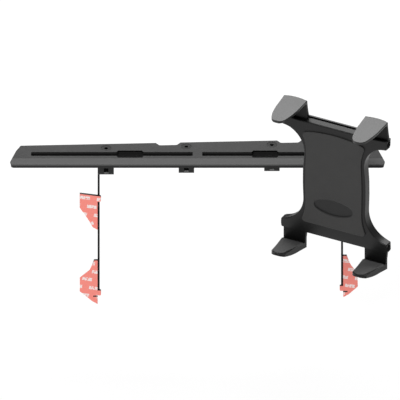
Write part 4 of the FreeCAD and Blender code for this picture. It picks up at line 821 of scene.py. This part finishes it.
def grips():
    """Two fingers, two legs and their pads, with round tips."""
    for pattern, move, width, pad_move, pad_inset in GRIPS:
        for side, centre in (("left", -GRIP_CENTRE), ("right", GRIP_CENTRE)):
            name = pattern.format(side)
            bm = merged(name)
            divide(bm, TONGUE_PLACES, HOLDER_REAR)
            divide(bm, WEB_PLACES, UP)
            round_tip(bm, centre, 0)
            reshape(bm, move)
            add_skin(bm, name, width, GRIP_SEGMENTS)
            bm = merged(f"{name}_pad")
            if pad_move:
                reshape(bm, pad_move)
            round_tip(bm, centre, pad_inset)
            add_skin(bm, f"{name}_pad", PAD_SOFTNESS)


# A black block of painted shade in each end of the holder's cross rails, where they are open and
# dark: places in the holder's frame, and its size

END_SHADE_ACROSS = 67.1
END_SHADE_REAR = 4.8
END_SHADE_HEIGHTS = (-67.5, 68.0)
END_SHADE_RADIUS = 4.2
END_SHADE_DEPTH = 0.8
END_SHADE_SOFTNESS = 0.15


def end_plugs():
    """A black six-sided block in each end of the holder's cross rails, painted shade for their
    dark open ends.
    """
    turn = UP.rotation_difference(HOLDER_RIGHT).to_matrix().to_4x4()
    for across in (-END_SHADE_ACROSS, END_SHADE_ACROSS):
        for height in END_SHADE_HEIGHTS:
            bm = bmesh.new()
            bmesh.ops.create_cone(bm, segments=6, radius1=END_SHADE_RADIUS * MM,
                                  radius2=END_SHADE_RADIUS * MM, depth=END_SHADE_DEPTH * MM, cap_ends=True)
            place = Matrix.Translation(from_holder(across, END_SHADE_REAR, height))
            bmesh.ops.transform(bm, matrix=place @ turn, verts=bm.verts)
            bmesh.ops.recalc_face_normals(bm, faces=bm.faces)
            soften(bm, END_SHADE_SOFTNESS)
            shade_by_angle(bm)
            side = "left" if across < 0 else "right"
            level = "lower" if height < 0 else "upper"
            make_piece(bm, f"{level}_{side}_end_plug", [], "holder", "nylon")


# Shapes of the dash side

# The plate's front corners: how far they draw in, and the ranges across, ahead of the middle
# line and up in which they do

CORNER_CUT = 1.5
CORNER_ACROSS = (203, 210)
CORNER_AHEAD = (10, 17)
CORNER_HEIGHTS = (-0.5, 5)
PLATE_SOFTNESS = 0.3


def plate():
    """The plate, whose front corners draw in towards their foot."""
    bm = merged("dash_plate")
    for vert in bm.verts:
        x, y, z = vert.co / MM
        cut = CORNER_CUT * ease(abs(x), *CORNER_ACROSS)
        cut *= ease(-y, *CORNER_AHEAD) * (1 - ease(z, *CORNER_HEIGHTS))
        vert.co.x -= math.copysign(cut * MM, x)
    add_skin(bm, "dash_plate", PLATE_SOFTNESS)


# A lug's lowest part lies between its foot and the foot of its hole

LUG_FOOT = -23.0
LUG_HOLE_FOOT = -17.0
LUG_DROP = 2.1


def lower_lug(bm):
    """Lower the foot of a lug, below its hole."""
    for vert in bm.verts:
        if LUG_FOOT < vert.co.z / MM < LUG_HOLE_FOOT:
            vert.co.z -= LUG_DROP * MM


# For each side: the way its flags point, where their slopes start, and the blade's free edge

FLAG_SIDES = {"left": (-1, -114.0, -110.45), "right": (1, 165.4, 161.85)}
BLADE_NEAR = 0.2
BLADE_EXTRA = 0.4

# The tip of the right lower flag, and the slopes of the lower flags, which the tape covers

TIP_TOP = -183.0
TIP_SHIFT = Vector((0.3, 0, 3.0))
SLOPE_HEIGHTS = (-160.0, -136.0)
SLOPE_IN = 1.0
SLOPE_DOWN = 1.5

# The outer edge of the left flags, and the height that the upper one's outer corner is above

FLAG_EDGE = -131.0
FLAG_IN = 0.7
UPPER_FLAG = -60.0
FLAG_CORNER_DOWN = 0.9


def trim_flags(bm, side, is_metal):
    """Shape a bracket's flags: a short right tip, a stout blade and metal behind the tape."""
    way, inner, blade_edge = FLAG_SIDES[side]
    for vert in bm.verts:
        x, z = vert.co.x / MM, vert.co.z / MM
        if side == "right" and z < TIP_TOP:
            vert.co += TIP_SHIFT * MM
        if is_metal and z < LUG_FOOT and abs(x - blade_edge) < BLADE_NEAR:
            vert.co.x -= way * BLADE_EXTRA * MM
        if is_metal and way * (x - inner) > 0 and SLOPE_HEIGHTS[0] < z < SLOPE_HEIGHTS[1]:
            vert.co += Vector((-way * SLOPE_IN, 0, -SLOPE_DOWN)) * MM
        if side == "left" and x < FLAG_EDGE:
            vert.co.x += FLAG_IN * MM
        if side == "left" and x < FLAG_EDGE and z > UPPER_FLAG:
            vert.co.z -= FLAG_CORNER_DOWN * MM


# The kinds of bracket and the softness of their edges

BRACKETS = {"lug_bracket": 0.25, "side_bracket": 0.12}


def brackets():
    """The lugs hang a little lower, and the lower flags hide behind their tape."""
    for side in ("left", "right"):
        for kind, width in BRACKETS.items():
            name = f"{side}_{kind}"
            bm = merged(name)
            lower_lug(bm)
            trim_flags(bm, side, True)
            add_skin(bm, name, width)
        for name in (f"{level}_{side}_{layer}" for level in ("upper", "lower")
                     for layer in ("liner", "tape")):
            bm = merged(name)
            trim_flags(bm, side, False)
            add_skin(bm, name, 0)


# Black blocks of painted shade in the lugs' square holes, where the holes are dark. A side bracket
# is wider than its lug, so the middle of its lug is given

SIDE_LUG_MIDDLE = -102.75
LUG_SHADE_HALF = 3.1
LUG_SHADE_INSET = 0.5
LUG_SHADE_DEPTH = 1.5
LUG_SHADE_FOOT = -19.9
LUG_SHADE_TOP = -11.0
LUG_SHADE_SOFTNESS = 0.3


def box_piece(name, low, high, width, slot_name):
    """A small bevelled block between two corners, in millimetres, fixed to the dash side."""
    bm = bmesh.new()
    bmesh.ops.create_cube(bm, size=1)
    low, high = Vector(low), Vector(high)
    for vert in bm.verts:
        for axis in range(3):
            share = vert.co[axis] + 0.5
            vert.co[axis] = (low[axis] + (high[axis] - low[axis]) * share) * MM
    soften(bm, width)
    shade_by_angle(bm)
    make_piece(bm, name, [], "dash", slot_name)


def lug_plugs():
    """A black block of painted shade in the hole of each lug on the side in view, where the hole
    is dark.
    """
    for name in ("left_side_bracket", "left_lug_bracket", "right_lug_bracket"):
        low, high = (corner / MM for corner in map(Vector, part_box(name)))
        middle = (low.x + high.x) / 2 if "lug" in name else SIDE_LUG_MIDDLE
        front = low.y + LUG_SHADE_INSET
        box_piece(f"{name}_plug", (middle - LUG_SHADE_HALF, front, LUG_SHADE_FOOT),
                  (middle + LUG_SHADE_HALF, front + LUG_SHADE_DEPTH, LUG_SHADE_TOP),
                  LUG_SHADE_SOFTNESS, "nylon")


# The black rim of painted shade that lines a slot's wide opening, where its edges fall dark: the
# opening's place, the outlines of its two halves around that place, and its heights

OPENING_ACROSS = 75.9
REAR_RIM = ((15.3, 3.85), (13.3, 7.3), (-13.3, 7.3), (-15.3, 3.85),
            (-14.4, 3.85), (-12.7, 6.4), (12.7, 6.4), (14.4, 3.85))
FRONT_RIM = ((15.3, -3.85), (13.6, -7.9), (-13.6, -7.9), (-15.3, -3.85),
             (-14.2, -3.85), (-12.7, -5.7), (12.7, -5.7), (14.2, -3.85))
RIM_LOW = 6.8
RIM_HIGH = 8.12
RIM_SOFTNESS = 0.12


def opening_rims():
    """A black strip of painted shade along the rear and the front of each wide opening."""
    for side, middle in (("left", -OPENING_ACROSS), ("right", OPENING_ACROSS)):
        for half, outline in (("rear", REAR_RIM), ("front", FRONT_RIM)):
            bm = bmesh.new()
            ring = [bm.verts.new(Vector((middle + x, y, RIM_LOW)) * MM) for x, y in outline]
            foot = bm.faces.new(ring)
            grown = bmesh.ops.extrude_face_region(bm, geom=[foot], use_keep_orig=True)
            rise = [item for item in grown["geom"] if isinstance(item, bmesh.types.BMVert)]
            bmesh.ops.translate(bm, verts=rise, vec=UP * (RIM_HIGH - RIM_LOW) * MM)
            bmesh.ops.recalc_face_normals(bm, faces=bm.faces)
            soften(bm, RIM_SOFTNESS, least=40.0)
            shade_by_angle(bm)
            make_piece(bm, f"{side}_opening_{half}_rim", [], "dash", "nylon")


# The other nodes whose edges show, and the softness of those edges

SOFT_EDGES = {
    "arm_half_left": 0.4, "arm_half_right": 0.4, "arm_knob": 0.4, "ball_plate": 0.35,
    "base_ball": 0.25, "holder_ball": 0.2, "plate_screws": 0.15, "slot_nut": 0.2,
    "base_washer": 0.2,
}


def soft_nodes():
    """Softened copies of nodes that keep their shape."""
    for name, width in SOFT_EDGES.items():
        add_skin(merged(name), name, width)


def dress_nodes():
    """Every CAD node takes the finish of its slot in the record."""
    for row in record["subparts"]:
        node = nodes[row["node"]]
        material = FINISHES[row["material_slot"]].material
        for slot in node.material_slots:
            slot.material = material
        if not node.material_slots:
            node.data.materials.append(material)


dress_nodes()
holder_copies()
grips()
plate()
brackets()
lug_plugs()
end_plugs()
opening_rims()
soft_nodes()


# Stage, in metres

FLOOR_DROP = 0.03
FLOOR_REACH = 6.0
FLOOR_GLOW = 0.82
FLOOR_CLOUDS = 0.3
ROOM_GLOW = 0.22
WHITE = (1, 1, 1, 1)
VIEW_RISE = math.radians(31.0)
VIEW_WIDTH = 0.450
VIEW_TARGET = Vector((0.0028, -0.030, -0.0345))
VIEW_DISTANCE = 2.0
VIEW_END = 20


def floor():
    """A plain pale floor well under the lowest edge of the flags, lit evenly."""
    bm = bmesh.new()
    bmesh.ops.create_grid(bm, x_segments=1, y_segments=1, size=FLOOR_REACH)
    mesh = bpy.data.meshes.new("floor")
    bm.to_mesh(mesh)
    bm.free()
    ground = bpy.data.objects.new("floor", mesh)
    ground.location.z = cad_box[0][2] - FLOOR_DROP
    bpy.context.collection.objects.link(ground)
    finish = Finish("floor_paper", roughness=0.9, emission_color=WHITE)
    finish.shine(0.0)
    finish.colour(finish.mix(finish.noise(FLOOR_CLOUDS / MM), grey(0.16), grey(0.18)))
    finish.shader.inputs["Emission Strength"].default_value = FLOOR_GLOW
    mesh.materials.append(finish.material)


def area_light(name, place, target, width, height, radiance):
    """A soft oblong lamp aimed at a point. Its power follows from how bright it looks."""
    lamp = bpy.data.lights.new(name, "AREA")
    lamp.shape = "RECTANGLE"
    lamp.size = width
    lamp.size_y = height
    lamp.energy = radiance * math.pi * width * height
    holder = bpy.data.objects.new(name, lamp)
    holder.location = place
    way = Vector(target) - Vector(place)
    holder.rotation_euler = way.to_track_quat("-Z", "Y").to_euler()
    bpy.context.collection.objects.link(holder)


def camera():
    """A parallel view from above, straight on to the plate."""
    lens = bpy.data.cameras.new("camera")
    lens.type = "ORTHO"
    lens.ortho_scale = VIEW_WIDTH
    lens.clip_end = VIEW_END
    view = bpy.data.objects.new("camera", lens)
    back = Vector((0, -math.cos(VIEW_RISE), math.sin(VIEW_RISE)))
    view.location = VIEW_TARGET + back * VIEW_DISTANCE
    view.rotation_euler = (math.pi / 2 - VIEW_RISE, 0, 0)
    bpy.context.collection.objects.link(view)
    bpy.context.scene.camera = view


def surroundings():
    """An even pale room, and how its brightness is shown."""
    world = bpy.data.worlds.new("room")
    world.use_nodes = True
    backdrop = world.node_tree.nodes["Background"]
    backdrop.inputs["Color"].default_value = WHITE
    backdrop.inputs["Strength"].default_value = ROOM_GLOW
    bpy.context.scene.world = world
    bpy.context.scene.view_settings.view_transform = "Standard"


floor()
camera()
surroundings()
area_light("rear", (0, 1.45, 1.35), (0, 0, 0), width=2.6, height=2.0, radiance=3.9)
area_light("front", (-0.5, -1.5, 1.5), (0, 0, -0.05), width=1.2, height=0.9, radiance=7.1)

bpy.context.view_layer.update()
